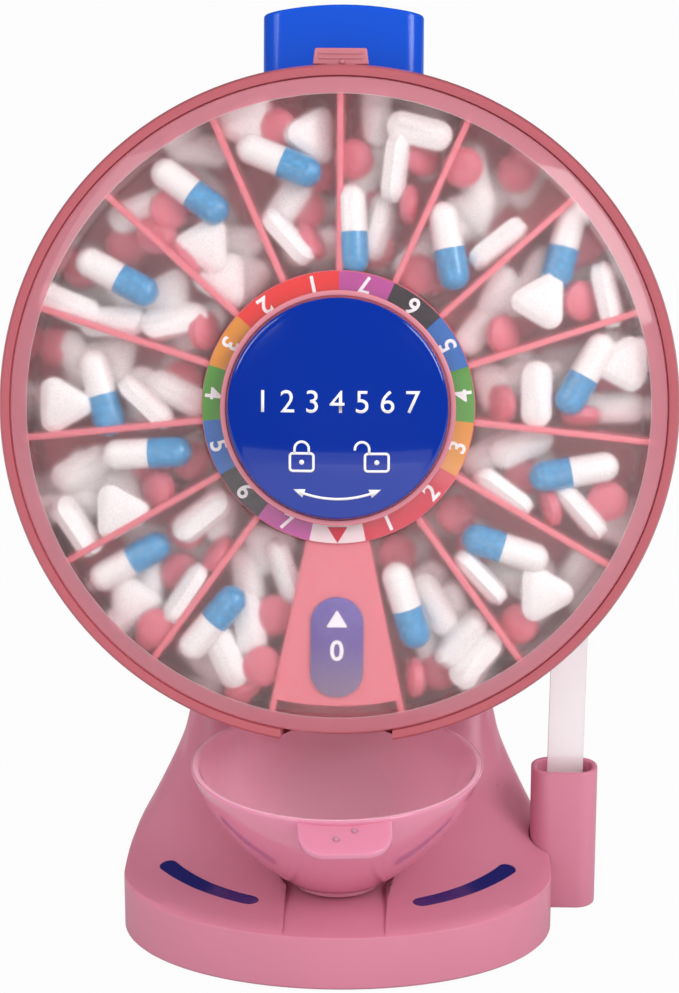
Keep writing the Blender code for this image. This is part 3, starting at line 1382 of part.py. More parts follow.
def button_outline():
    """The button's front outline, with rounded upper corners and a crowned top."""
    half, top = BUTTON_HALF_WIDTH, BUTTON_TOP_V - BUTTON_CROWN
    flat = half - BUTTON_CORNER
    radius = (flat ** 2 + BUTTON_CROWN ** 2) / (2 * BUTTON_CROWN)
    crown = math.asin(flat / radius)
    centre = (0, BUTTON_TOP_V - radius)
    upper = arc(radius, math.pi / 2 - crown, math.pi / 2 + crown, 8, centre)
    corner_high = top - BUTTON_CORNER
    right = arc(BUTTON_CORNER, 0, math.pi / 2 - crown, 4, (flat, corner_high))
    left = arc(BUTTON_CORNER, math.pi / 2 + crown, math.pi, 4, (-flat, corner_high))
    return [(half, BUTTON_SKIRT_V)] + right + upper[1:-1] + left + [(-half, BUTTON_SKIRT_V)]


def make_button(axis, look):
    front = PYLON_FRONT_W - SEAT_GAP
    rear = front - BUTTON_DEPTH
    cap = plate("push_button", [button_outline()], rear, front, axis, look)
    bevel(cap, BUTTON_EDGE)
    roof = BUTTON_ROOF_V
    hollow = rounded_rectangle(-BUTTON_HALF_WIDTH + BUTTON_WALL, BUTTON_HALF_WIDTH - BUTTON_WALL,
                               rear + BUTTON_WALL, front - BUTTON_WALL, NECK_CORNER, 3)
    cut(cap, plate("button_hollow", [hollow], BUTTON_SKIRT_V - OVERRUN, roof, axis, turn=ALONG_Y))
    w = button_post_w()
    for side in (-1, 1):
        u = side * BUTTON_POST_U
        ends = (u, CROSSHEAD_TOP_V + SEAT_GAP, w), (u, roof + BUTTON_WALL / 2, w)
        join(cap, rod(f"button_post_{side}", BUTTON_POST_RADIUS, *ends, axis))
    for side in (-1, 1):
        u = side * BUTTON_POST_U
        low = CROSSHEAD_TOP_V - CROSSHEAD_HEIGHT - SEAT_GAP
        ends = (u, CROSSHEAD_TOP_V - OVERRUN, w), (u, low + BUTTON_SCREW_LENGTH + SCREW_SPARE, w)
        cut(cap, rod(f"button_bore_{side}", SCREW_BORE_RADIUS, *ends, axis, steps=PIN_STEPS))
    middle = (front + rear) / 2
    for side in (-1, 1):
        u = side * NUB_SPACING / 2
        ends = (u, BUTTON_TOP_V - NUB_RADIUS, middle), (u, BUTTON_TOP_V + NUB_HEIGHT, middle)
        join(cap, rod(f"button_nub_{side}", NUB_RADIUS, *ends, axis, steps=PIN_STEPS))
    return cap


def make_springs(wheel, look):
    for name, side in (("button_spring_left", -1), ("button_spring_right", 1)):
        curve = bpy.data.curves.new(name, "CURVE")
        curve.dimensions = "3D"
        curve.bevel_depth = SPRING_WIRE_RADIUS
        curve.bevel_resolution = 1
        curve.use_fill_caps = True
        low = SHELF_TOP_V + SEAT_GAP + SPRING_WIRE_RADIUS
        high = CROSSHEAD_TOP_V - CROSSHEAD_HEIGHT - SEAT_GAP - SPRING_WIRE_RADIUS
        count = SPRING_TURNS * SPRING_POINTS_PER_TURN
        spline = curve.splines.new("POLY")
        spline.points.add(count)
        for i, point in enumerate(spline.points):
            angle = 2 * math.pi * i / SPRING_POINTS_PER_TURN
            u = side * SPRING_U + SPRING_RADIUS * math.cos(angle)
            w = spring_w() + SPRING_RADIUS * math.sin(angle)
            point.co = (u, low + (high - low) * i / count, w, 1)
        add(name, curve, wheel, look)


def make_cover(axis, look):
    inner = COVER_RADIUS - COVER_WALL
    low = COVER_EDGE_W - COVER_SKIRT
    profile = [
        (inner, low),
        (COVER_RADIUS, low),
        (COVER_RADIUS, COVER_EDGE_W),
        (COVER_FACE_RADIUS, COVER_FACE_W),
        (COVER_BORE, COVER_FACE_W),
        (COVER_BORE, COVER_FACE_W - COVER_WALL),
        (COVER_FACE_RADIUS - COVER_WALL * COVER_BEND_SHARE, COVER_FACE_W - COVER_WALL),
        (inner, COVER_EDGE_W - COVER_WALL / 2),
    ]
    return turned("front_cover", profile, axis, look)


def make_trim_ring(axis, look):
    low = COVER_FACE_W + SEAT_GAP
    high = low + TRIM_HEIGHT
    profile = [
        (TRIM_INNER_RADIUS, low),
        (TRIM_OUTER_RADIUS, low),
        (TRIM_OUTER_RADIUS, high),
        (TRIM_INNER_RADIUS, high),
    ]
    return turned("knob_trim_ring", profile, axis, look, MIDDLE_STEPS)


def knob_dome(radius, base, rise):
    """(radius, height) points over a shallow dome, from its rim to the axis."""
    shares = [i / DOME_STEPS for i in range(DOME_STEPS + 1)]
    return [(radius * (1 - s), base + rise * (1 - (1 - s) ** 2)) for s in shares]


def make_knob(axis, look):
    """A domed cap whose two bosses stand on the bayonet sleeve's flange."""
    side_top = KNOB_SKIRT_W + KNOB_SIDE_HEIGHT
    inner = KNOB_RADIUS - KNOB_WALL
    outer = knob_dome(KNOB_RADIUS - KNOB_EDGE, side_top, KNOB_DOME)
    roof = side_top - KNOB_EDGE
    under = [
        (r, w) for r, w in knob_dome(inner, roof - KNOB_WALL / 2, KNOB_DOME - KNOB_WALL * KNOB_FLATTER_INSIDE_SHARE)
    ]
    profile = [(inner, KNOB_SKIRT_W), (KNOB_RADIUS, KNOB_SKIRT_W), (KNOB_RADIUS, side_top - KNOB_EDGE)]
    profile += outer + under[::-1]
    knob = turned("lock_knob", profile, axis, look, MIDDLE_STEPS)
    low = KNOB_SKIRT_W + FLANGE_THICKNESS + SEAT_GAP
    for side in (-1, 1):
        x = side * KNOB_SCREW_PLACE_RADIUS
        ends = (x, 0, low), (x, 0, side_top)
        join(knob, rod(f"knob_boss_{side}", SCREW_HEAD_RADIUS, *ends, axis, steps=PIN_STEPS))
        ends = (x, 0, low - OVERRUN), (x, 0, knob_screw_w() + KNOB_SCREW_LENGTH + SEAT_GAP)
        cut(knob, rod(f"knob_bore_{side}", SCREW_BORE_RADIUS, *ends, axis, steps=PIN_STEPS))
    return knob


def knob_screw_w():
    """Where a knob screw's head bears on the sleeve's flange, in a pocket from behind."""
    return KNOB_SKIRT_W + SCREW_HEAD_HEIGHT


def make_bayonet_sleeve(axis, look):
    low, high = KNOB_SKIRT_W, KNOB_SKIRT_W + FLANGE_THICKNESS
    groove = SLEEVE_TUBE_RADIUS - CLIP_GROOVE - SEAT_GAP
    clip_top = COVER_FACE_W - COVER_WALL
    clip_low = clip_top - KNOB_CLIP_THICKNESS - 2 * SEAT_GAP
    profile = [
        (SLEEVE_TUBE_BORE, SLEEVE_END_W),
        (SLEEVE_TUBE_RADIUS, SLEEVE_END_W),
        (SLEEVE_TUBE_RADIUS, clip_low),
        (groove, clip_low),
        (groove, clip_top),
        (SLEEVE_TUBE_RADIUS, clip_top),
        (SLEEVE_TUBE_RADIUS, low),
        (FLANGE_RADIUS, low),
        (FLANGE_RADIUS, high),
        (SLEEVE_TUBE_BORE, high),
    ]
    sleeve = turned("bayonet_sleeve", profile, axis, look, SMALL_STEPS)
    for side in (0, 1):
        middle = math.pi * side + LOCK_ANGLE
        lug = ring_sector(KNOB_LUG_RADIUS, SLEEVE_TUBE_BORE + CLIP_GROOVE, middle - LUG_HALF_ANGLE,
                          middle + LUG_HALF_ANGLE, 6)
        join(sleeve, plate(f"sleeve_lug_{side}", [lug], SLEEVE_END_W, SLEEVE_END_W + LUG_THICKNESS, axis))
    for side in (-1, 1):
        x = side * KNOB_SCREW_PLACE_RADIUS
        ends = (x, 0, low - OVERRUN), (x, 0, high + OVERRUN)
        cut(sleeve, rod(f"flange_bore_{side}", SCREW_BORE_RADIUS, *ends, axis, steps=PIN_STEPS))
        ends = (x, 0, low - OVERRUN), (x, 0, knob_screw_w() + SEAT_GAP)
        pocket = rod(f"flange_pocket_{side}", SCREW_POCKET_RADIUS, *ends, axis, steps=PIN_STEPS)
        cut(sleeve, pocket, solver="MANIFOLD")
    return sleeve


def make_knob_clip(axis, look):
    inner = SLEEVE_TUBE_RADIUS - CLIP_GROOVE
    start, end = CLIP_GAP / 2, 2 * math.pi - CLIP_GAP / 2
    outline = ring_sector(inner, KNOB_CLIP_RADIUS, start, end, SMALL_STEPS)
    high = COVER_FACE_W - COVER_WALL - SEAT_GAP
    return plate("knob_clip", [outline], high - KNOB_CLIP_THICKNESS, high, axis, look)


def make_labels(axis, look):
    low = HUB_FACE_W + SEAT_GAP
    high = low + LABEL_THICKNESS
    profile = [
        (LABEL_INNER_RADIUS, low),
        (LABEL_OUTER_RADIUS, low),
        (LABEL_OUTER_RADIUS, high),
        (LABEL_INNER_RADIUS, high),
    ]
    turned("label_ring", profile, axis, look, MIDDLE_STEPS)
    half = START_LABEL_WIDTH / 2
    low = VANE_TOP_W + BLIND_PROUD + SEAT_GAP
    outline = rounded_rectangle(-half, half, START_LABEL_BOTTOM_V, START_LABEL_TOP_V,
                                half - LABEL_THICKNESS, 8)
    plate("start_label", [outline], low, low + LABEL_THICKNESS, axis, look)


def make_bowl(axis, look):
    foot = BASE_HEIGHT + SEAT_GAP
    outer = bowl_outline()
    inner = [(r - BOWL_WALL, z) for r, z in reversed(outer)]
    floor = foot + BOWL_FLOOR
    inner = [(r, z) for r, z in inner if z > floor + BOWL_FLOOR]
    profile = [(0, foot), (BOWL_FOOT_RADIUS, foot), (BOWL_FOOT_RADIUS, foot + BOWL_FOOT_HEIGHT / 2)]
    profile += outer + inner + [(BOWL_FOOT_RADIUS - BOWL_WALL, floor), (0, floor)]
    bowl = turned("pill_bowl", profile, axis, look, MIDDLE_STEPS)
    bowl.rotation_euler = (0, 0, BOWL_TURN)
    root = BOWL_RIM_RADIUS - BOWL_WALL / 2
    half = TAB_HALF_WIDTH
    reach = root + BOWL_WALL / 2 + TAB_LENGTH
    lean = math.asin(half / root)
    edge = arc(root, DOWN + lean, DOWN - lean, 8)
    front = rounded_rectangle(-half, half, -reach, -root, TAB_CORNER, 5)
    front = [(x, y) for x, y in front if y < -reach + TAB_CORNER + WELD]
    right = [p for p in front if p[0] > 0]
    left = [p for p in front if p[0] < 0]
    hinge = Vector((0, -root, BOWL_RIM_Z - TAB_BELOW_RIM))
    tilt = (
        Matrix.Rotation(BOWL_TURN, 4, "Z")
        @ Matrix.Translation(hinge)
        @ Matrix.Rotation(TAB_SLOPE, 4, "X")
        @ Matrix.Translation((0, root, 0))
    )
    outline = edge + sorted(left, key=lambda p: p[0]) + sorted(right, key=lambda p: p[0])
    tab = plate("bowl_tab", [outline], -TAB_THICKNESS, 0, axis, turn=tilt)
    join(bowl, tab, solver="MANIFOLD")
    for side in (-1, 1):
        x = side * DOT_SPACING / 2
        y = -reach + DOT_INSET + side * DOT_STEP / 2
        mesh = rod_mesh(DOT_RADIUS, (x, y, -TAB_THICKNESS / 2), (x, y, DOT_HEIGHT), PIN_STEPS)
        mesh.transform(tilt)
        join(bowl, add(f"bowl_dot_{side}", mesh, axis))
    return bowl


def make_holder(frame, look):
    floor = FOOT_STAND + HOLDER_FLOOR
    cup = plate("tool_holder", [holder_outline()], FOOT_STAND, FOOT_STAND + HOLDER_HEIGHT, frame, look)
    left = HOLDER_X - HOLDER_WIDTH / 2
    half = TONGUE_WIDTH / 2
    tongue = box("holder_tongue", (left - TONGUE_LENGTH, HOLDER_Y - half, TONGUE_LOW),
                 (left + 2 * HOLDER_WALL, HOLDER_Y + half, TONGUE_HIGH), frame)
    join(cup, tongue)
    hollow = plate("holder_hollow", [holder_outline(-HOLDER_WALL)], floor,
                   FOOT_STAND + HOLDER_HEIGHT + OVERRUN, frame)
    cut(cup, hollow)
    return cup


def stick_foot():
    """The middle of the stick's foot, which rests at the front of the holder's floor."""
    top = HOLDER_HEIGHT - HOLDER_FLOOR - SEAT_GAP
    y = HOLDER_Y - math.tan(STICK_LEAN) * top / 2
    z = FOOT_STAND + HOLDER_FLOOR + SEAT_GAP + STICK_THICKNESS / 2
    return HOLDER_X - math.tan(STICK_CANT) * top / 2, y, z


def make_stick(axis, look):
    half = STICK_WIDTH / 2
    outline = rounded_rectangle(-half, half, 0, STICK_LENGTH, STICK_CORNER, 4)
    half = STICK_THICKNESS / 2
    return plate("pill_stick", [outline], -half, half, axis, look, ALONG_Y)


def make_materials():
    return {
        "pink": material("stand_pink", (0.58, 0.17, 0.26), 0.35),
        "coral": material("drum_coral", (0.48, 0.10, 0.13), 0.35),
        "tray": material("tray_pink", (0.60, 0.22, 0.28), 0.45),
        "clear": material("cover_clear", (0.95, 0.97, 0.98), 0.05, transmission=1.0),
        "blue": material("button_blue", (0.011, 0.095, 0.63), 0.25),
        "deep_blue": material("knob_blue", (0.0, 0.032, 0.39), 0.22),
        "navy": material("inlay_navy", (0.02, 0.02, 0.09), 0.1),
        "bowl": material("bowl_clear", (0.9, 0.8, 0.82), 0.08, transmission=0.9),
        "white": material("white_plastic", (0.85, 0.85, 0.85), 0.4),
        "print": material("label_print", (0.8, 0.6, 0.6), 0.5),
        "steel": material("steel", (0.6, 0.6, 0.62), 0.3, 1.0),
        "brass": material("brass", (0.75, 0.55, 0.25), 0.35, 1.0),
        "rubber": material("rubber", (0.04, 0.04, 0.04), 0.8),
        "acetal": material("acetal", (0.75, 0.74, 0.7), 0.4),
    }


def build():
    global parts, cutters
    clear_scene()
    parts = new_collection("pill_dispenser")
    cutters = new_collection("cutters")
    look = make_materials()
    frame = empty("stand_frame", None, (0, BASE_Y, 0))
    lean = (math.pi / 2 - WHEEL_TILT, 0, 0)
    wheel = empty("wheel_frame", frame, (0, WHEEL_Y, WHEEL_HEIGHT), lean)
    carousel = empty("carousel_axis", wheel)
    cover = empty("cover_slide", wheel)
    knob = empty("knob_axis", cover)
    button = empty("button_slide", wheel)
    bowl = empty("bowl_slide", frame, (0, BOWL_Y, 0))
    stick = empty("stick_slide", frame, stick_foot(), (-STICK_LEAN, STICK_CANT, 0))

    shell = make_stand_shell(frame, wheel, look["pink"])
    make_inlays(shell, frame, look["navy"])
    make_rear_cover(frame, wheel, look["pink"])
    make_base_plate(frame, look["pink"])
    make_feet(frame, look["rubber"])
    make_drum(wheel, look["coral"])
    make_catch(wheel, look["coral"])
    make_axle(wheel, look["steel"])
    make_axle_nut(wheel, look["steel"])
    make_mechanism_plate(wheel, look["steel"])
    make_holding_pawl(wheel, look["acetal"])
    make_springs(wheel, look["steel"])
    make_vane_wheel(carousel, look["tray"])
    make_labels(carousel, look["print"])
    make_ratchet(carousel, look["acetal"])
    make_ratchet_clip(carousel, look["steel"])
    make_bush(carousel, look["brass"])
    make_cover(cover, look["clear"])
    make_trim_ring(cover, look["white"])
    make_knob(knob, look["deep_blue"])
    make_bayonet_sleeve(knob, look["acetal"])
    make_knob_clip(knob, look["steel"])
    make_button(button, look["blue"])
    make_plunger(button, look["acetal"])
    make_drive_pawl(button, look["acetal"])
    make_screws(frame, wheel, knob, button, look["steel"])
    make_bowl(bowl, look["bowl"])
    make_holder(frame, look["pink"])
    make_stick(stick, look["clear"])


build()
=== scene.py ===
"""Looks of the desk-top weekly pill dispenser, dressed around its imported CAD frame.

Units are metres, +Z is up and the front is -Y. Shapes of the wheel are made in the wheel's own
axes, u to the right, v up the slope and w out to the front, and are then laid in their place.
"""
import json
import math
import random

import bmesh
import bpy
from bpy.props import FloatProperty, FloatVectorProperty, PointerProperty
from mathutils import Matrix, Vector


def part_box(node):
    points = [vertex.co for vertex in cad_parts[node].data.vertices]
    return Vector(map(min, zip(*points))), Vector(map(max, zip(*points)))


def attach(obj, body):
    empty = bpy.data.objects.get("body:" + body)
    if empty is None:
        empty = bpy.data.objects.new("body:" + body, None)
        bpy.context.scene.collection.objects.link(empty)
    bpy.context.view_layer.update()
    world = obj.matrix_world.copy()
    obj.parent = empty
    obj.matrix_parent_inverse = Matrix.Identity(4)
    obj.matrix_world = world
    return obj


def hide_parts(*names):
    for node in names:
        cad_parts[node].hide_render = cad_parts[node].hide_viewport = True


bl_info = {
    "name": "Weekly pill dispenser",
    "version": (1, 0, 0),
    "blender": (4, 5, 0),
    "location": "View3D > Sidebar > Dispenser",
    "description": "Dresses the dispenser's frame with its moulded shells, carousel, pills and stage",
    "category": "Object",
}

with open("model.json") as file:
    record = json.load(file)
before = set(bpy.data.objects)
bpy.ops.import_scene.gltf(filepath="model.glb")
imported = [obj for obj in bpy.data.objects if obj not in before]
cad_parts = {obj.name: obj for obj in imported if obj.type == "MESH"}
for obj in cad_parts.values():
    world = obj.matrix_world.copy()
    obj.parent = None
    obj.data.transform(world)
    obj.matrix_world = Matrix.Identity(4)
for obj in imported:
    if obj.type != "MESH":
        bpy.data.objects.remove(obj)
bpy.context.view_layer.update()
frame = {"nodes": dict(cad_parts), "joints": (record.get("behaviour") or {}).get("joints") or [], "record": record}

# The wheel's own axes, from the joint that the carousel turns on
JOINTS = {joint["name"]: joint for joint in frame["joints"]}
WHEEL_CENTRE = Vector(JOINTS["carousel_spin"]["pos_m"])
WHEEL_OUT = Vector(JOINTS["carousel_spin"]["axis"]).normalized()
WHEEL_UP = WHEEL_OUT.cross(Vector((1, 0, 0)))
WHEEL = Matrix((Vector((1, 0, 0)), WHEEL_UP, WHEEL_OUT)).transposed().to_4x4()
WHEEL.translation = WHEEL_CENTRE
WHEEL_TILT = math.asin(WHEEL_OUT.z)
TO_WHEEL = WHEEL.inverted()


def wheel_extent(node):
    """Lowest and highest corner of a CAD node in the wheel's axes, and its largest radius."""
    points = [TO_WHEEL @ v.co for v in frame["nodes"][node].data.vertices]
    low = Vector([min(p[i] for p in points) for i in range(3)])
    high = Vector([max(p[i] for p in points) for i in range(3)])
    return low, high, max(math.hypot(p.x, p.y) for p in points)


# Common fits and fineness
GAP = 0.0003
WELD = 0.000001
ROUND_STEPS = 180
MIDDLE_STEPS = 96
SMOOTH_ANGLE = math.radians(32)
SECTOR_COUNT = 15
SECTOR = 2 * math.pi / SECTOR_COUNT
DOWN = -math.pi / 2
QUARTER_TURN = [math.pi / 2 * i / 8 for i in range(9)]
# How a prism is laid, so that its height runs along Y or along X
HEIGHT_ALONG_Y = Matrix(((1, 0, 0, 0), (0, 0, 1, 0), (0, 1, 0, 0), (0, 0, 0, 1)))
HEIGHT_ALONG_X = Matrix(((0, 0, 1, 0), (1, 0, 0, 0), (0, 1, 0, 0), (0, 0, 0, 1)))

# Stand: where its base stands and its outline, as the frame has them
BASE_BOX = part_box("stand_shell")
BASE_Y = -0.0148
FOOT_STAND = 0.0006
BASE_HALF_WIDTH = BASE_BOX[1].x
BASE_FRONT = 0.0369
BASE_REAR = 0.0500
BASE_HEIGHT = 0.0150
BASE_EDGE = 0.0006
BASE_REAR_POWER = 3.2
SHELL_WALL = 0.0022
RAMP_START = 0.0340
ALCOVE_DEPTH = 0.0330
RAMP_TOP = 0.0440
ALCOVE_TOP = 0.0499
WAIST_HALF_WIDTH = 0.0366
SHOULDER_HALF_WIDTH = 0.0198
SHOULDER_V = 0.0675
PYLON_FOOT_V = -0.0745
PYLON_POWER = 6.0
DRUM_DEPTH = 0.0260
PYLON_FRONT_W = -(DRUM_DEPTH + GAP)
PYLON_DEPTH = 0.0240
PYLON_REAR_W = PYLON_FRONT_W - PYLON_DEPTH
REAR_COVER_THICKNESS = 0.0027
REAR_SPLIT = REAR_COVER_THICKNESS + GAP
REAR_COVER_FOOT = 0.0200
REAR_COVER_TOP_V = 0.0660
NECK_TOP_V = 0.0842
NECK_GAP = 0.0022
NECK_WALL = 0.0018
NECK_HOLE_BELOW_SHOULDER = 0.004
NECK_HOLE_TOP_V = 0.088
STAND_STEPS = 160
CAVITY_STEPS = 48
RINGS_BETWEEN = 3
# Rings of the ramp: share of the ramp's rise, half-width as a share of the base's, where the ring's
# other end meets the rear as a share of the rise from the base's top to the pylon's bend, place of
# its widest point, and the powers of its front and rear curves. The half-widths and the rear ends come
# from a separate program, which fitted them to the stand's outline in the photograph, and were rounded
RAMP_RING_SHARES = (
    (0.0000, 0.998, 0.02, 0.40, 2.0, 3.2),
    (0.0104, 0.976, 0.07, 0.45, 2.1, 3.1),
    (0.0860, 0.921, 0.14, 0.50, 2.4, 3.0),
    (0.1720, 0.873, 0.22, 0.50, 2.6, 3.0),
    (0.3100, 0.819, 0.30, 0.50, 2.8, 3.1),
    (0.4500, 0.773, 0.38, 0.50, 3.0, 3.3),
    (0.6200, 0.743, 0.46, 0.50, 3.2, 3.6),
    (0.7900, 0.715, 0.54, 0.50, 3.4, 4.0),
    (0.9650, 0.703, 0.61, 0.50, 3.6, 4.5),
)
ALCOVE_REAR_SHARES = (0.64, 0.65)
# Rings of the pylon below its bend: share of the way from its foot to the bend, half-width as a
# share of the way from the waist to the shoulder, rear end as in the table above
PYLON_RING_SHARES = ((0.00, 0.12, 0.72), (0.29, 0.28, 0.86), (0.69, 0.42, 0.94), (1.00, 0.47, 1.00))
# Rings of the pylon above its bend: share of the way up to the shoulder, half-width as above
UPPER_RING_SHARES = ((0.00, 0.47), (0.27, 0.50), (0.60, 0.57), (0.81, 0.75), (1.00, 1.00))

# Bowl, and the room that it stands in
BOWL_CENTRE = Vector((0, BASE_Y - 0.0054, 0))
BOWL_RIM_RADIUS = 0.0357
BOWL_RIM_Z = 0.0464
BOWL_WALL = 0.0018
BOWL_FOOT_RADIUS = 0.0107
BOWL_FOOT_HEIGHT = 0.0024
BOWL_BELLY_RADIUS = 0.0137
BOWL_BELLY_BOW = 0.0036
BOWL_FLOOR = 0.0020
BOWL_STEPS = 20
BOWL_TURN = math.radians(4.5)
BOWL_CLEARANCE = 0.0016
BOWL_WAY = 0.0850
CHANNEL_DEPTH = 0.0005
TAB_HALF_WIDTH = 0.0110
TAB_LENGTH = 0.0088
TAB_SLOPE = math.radians(22)
TAB_BELOW_RIM = 0.0010
TAB_THICKNESS = 0.0018
TAB_CORNER = 0.0065
DOT_RADIUS = 0.0008
DOT_SPACING = 0.0044
DOT_INSET = 0.0062
DOT_STEP = 0.0026

# Inlays in the base's top
INLAY_THICKNESS = 0.0012
INLAY_FOOT = 0.001
INLAY_SUNK = 0.0001
INLAY_CENTRE_Y = 0.0292
INLAY_RADIUS = 0.0516
INLAY_WIDTH = 0.0043
INLAY_START = math.radians(35.5)
INLAY_END = math.radians(66)

# Holder and stick
HOLDER_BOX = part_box("tool_holder")
HOLDER_CORNER = 0.0050
HOLDER_WALL = 0.0014
HOLDER_WIDTH = 0.0166
HOLDER_FLOOR = 0.0020
TONGUE_HALF_WIDTH = 0.0025
TONGUE_LOW_Z = 0.0075
TONGUE_TOP_Z = 0.0125
TONGUE_OVERLAP = 0.0028
STICK_CORNER = 0.0020
STICK_HALF_THICKNESS = 0.00055
STICK_EDGE = 0.0002

# Drum, carousel and cover, in the wheel's axes
DRUM_RADIUS = wheel_extent("drum_housing")[2]
DRUM_RIM_RADIUS = 0.0808
DRUM_SWELL_DEPTH = 0.0120
DRUM_HEEL = 0.0040
DRUM_FLOOR = 0.0020
DRUM_BORE = 0.0772
COVER_SEAT_RADIUS = 0.0790
COVER_SEAT_DEPTH = 0.0030
SLEEVE_HOLE = 0.0097
OUTLET_WIDTH = 0.0270
OUTLET_DEPTH = 0.0218
OUTLET_TOP_V = -0.0600
TRAY_BACK_W = -0.0226
TRAY_FLOOR = 0.0015
VANE_RADIUS = wheel_extent("vane_wheel")[2]
VANE_THICKNESS = 0.0016
VANE_TOP_W = -0.0013
VANE_EDGE = 0.0003
HUB_RADIUS = 0.0330
HUB_WALL = 0.0016
HUB_FACE_W = -0.0009
HUB_RECESS_RADIUS = 0.0160
HUB_RECESS_W = -0.0110
BLIND_END_RADIUS = 0.0722
BLIND_PROUD = 0.0002
TUBE_BORE = 0.0056
TUBE_RADIUS = 0.0074
TUBE_END_W = wheel_extent("vane_wheel")[0].z
COVER_RADIUS = wheel_extent("front_cover")[2]
COVER_WALL = 0.0016
COVER_FACE_RADIUS = 0.0734
COVER_FACE_W = 0.0024
COVER_EDGE_W = 0.0001
COVER_SKIRT = 0.0023
COVER_BORE = 0.0118
KNOB_RADIUS = wheel_extent("lock_knob")[2]
KNOB_SKIRT_W = 0.0028
KNOB_TOP_W = wheel_extent("lock_knob")[1].z
KNOB_EDGE = 0.0010
KNOB_WALL = 0.0018
KNOB_DOME = 0.0034
TRIM_INNER_RADIUS = 0.0268
TRIM_EDGE = 0.0003

# Catch on top of the drum's rim
CATCH_SLOT_HALF = 0.0038
CATCH_TOP_HALF = 0.0062
CATCH_RIM_HALF = 0.0067
CATCH_LEG_HALF = 0.0035
CATCH_RIDGE_HALF = 0.0052
CATCH_ABOVE_RIM = 0.0009
CATCH_EDGE = 0.0004
CATCH_RIDGE_SINK = 0.0004
CATCH_RIDGE_WIDTH = 0.0005
CATCH_RIDGE_RISE = 0.0003
CATCH_BUMP_RADIUS = 0.0007
PAST_DRUM = 0.0900

# Labels and their print
LABEL_INNER_RADIUS = 0.0279
PRINT_THICKNESS = 0.00012
SIGN_THICKNESS = 0.0001
MARK_HALF_WIDTH = 0.0024
MARK_BASE_RADIUS = 0.0288
MARK_TIP_RADIUS = 0.0326
BADGE_ARROW_INSET = 0.0030
BADGE_ARROW_HEIGHT = 0.0042
BADGE_ARROW_HALF = 0.0026
BADGE_ZERO_HEIGHT = 0.0068
BADGE_ZERO_DROP = 0.0010

# Print on the knob
KNOB_NUMBER_HEIGHT = 0.0076
KNOB_NUMBER_V = 0.0015
KNOB_LINE_WIDTH = 0.0006
KNOB_LINE_RADIUS = 0.0250
KNOB_LINE_CENTRE = (0, 0.0036)
LOCK_V = -0.0126
LOCK_HALF_WIDTH = 0.0028
LOCK_HALF_HEIGHT = 0.0021
LOCK_CORNER = 0.0007
SHACKLE_RADIUS = 0.0017
SHACKLE_V = 0.0032
SHACKLE_SWING = 0.0035

# Button
NUB_RADIUS = 0.0011
NUB_RISE = 0.0005
NUB_SINK = 0.001
NUB_HALF_SPACING = 0.00205
BUTTON_WALL = 0.0018
BUTTON_ROOF = 0.0048
BUTTON_INNER_CORNER = 0.0026
BUTTON_CROWN = 0.0024
BUTTON_CROWN_DEPTH = 0.006


def linear(hex_colour):
    """Linear red, green and blue of an sRGB hex colour."""
    parts = [int(hex_colour[i:i + 2], 16) / 255 for i in (1, 3, 5)]
    return [p / 12.92 if p <= 0.04045 else ((p + 0.055) / 1.055) ** 2.4 for p in parts]


# Label colours, anticlockwise from the start mark at the bottom: two runs of seven, numbered 1 to 7
RUN_LENGTH = 7
SHARED_INKS = ("amber", "green", "blue", "plum", "magenta")
LABELS = ["white", *(ink for first in ("crimson", "red") for ink in (first, first, *SHARED_INKS))]
LABEL_INKS = {
    "white": "#E6D3D6",
    "crimson": "#CB1338",
    "amber": "#D9890A",
    "green": "#3F8F12",
    "blue": "#0E63B4",
    "plum": "#150414",
    "magenta": "#B23C93",
    "red": "#E00D08",
}

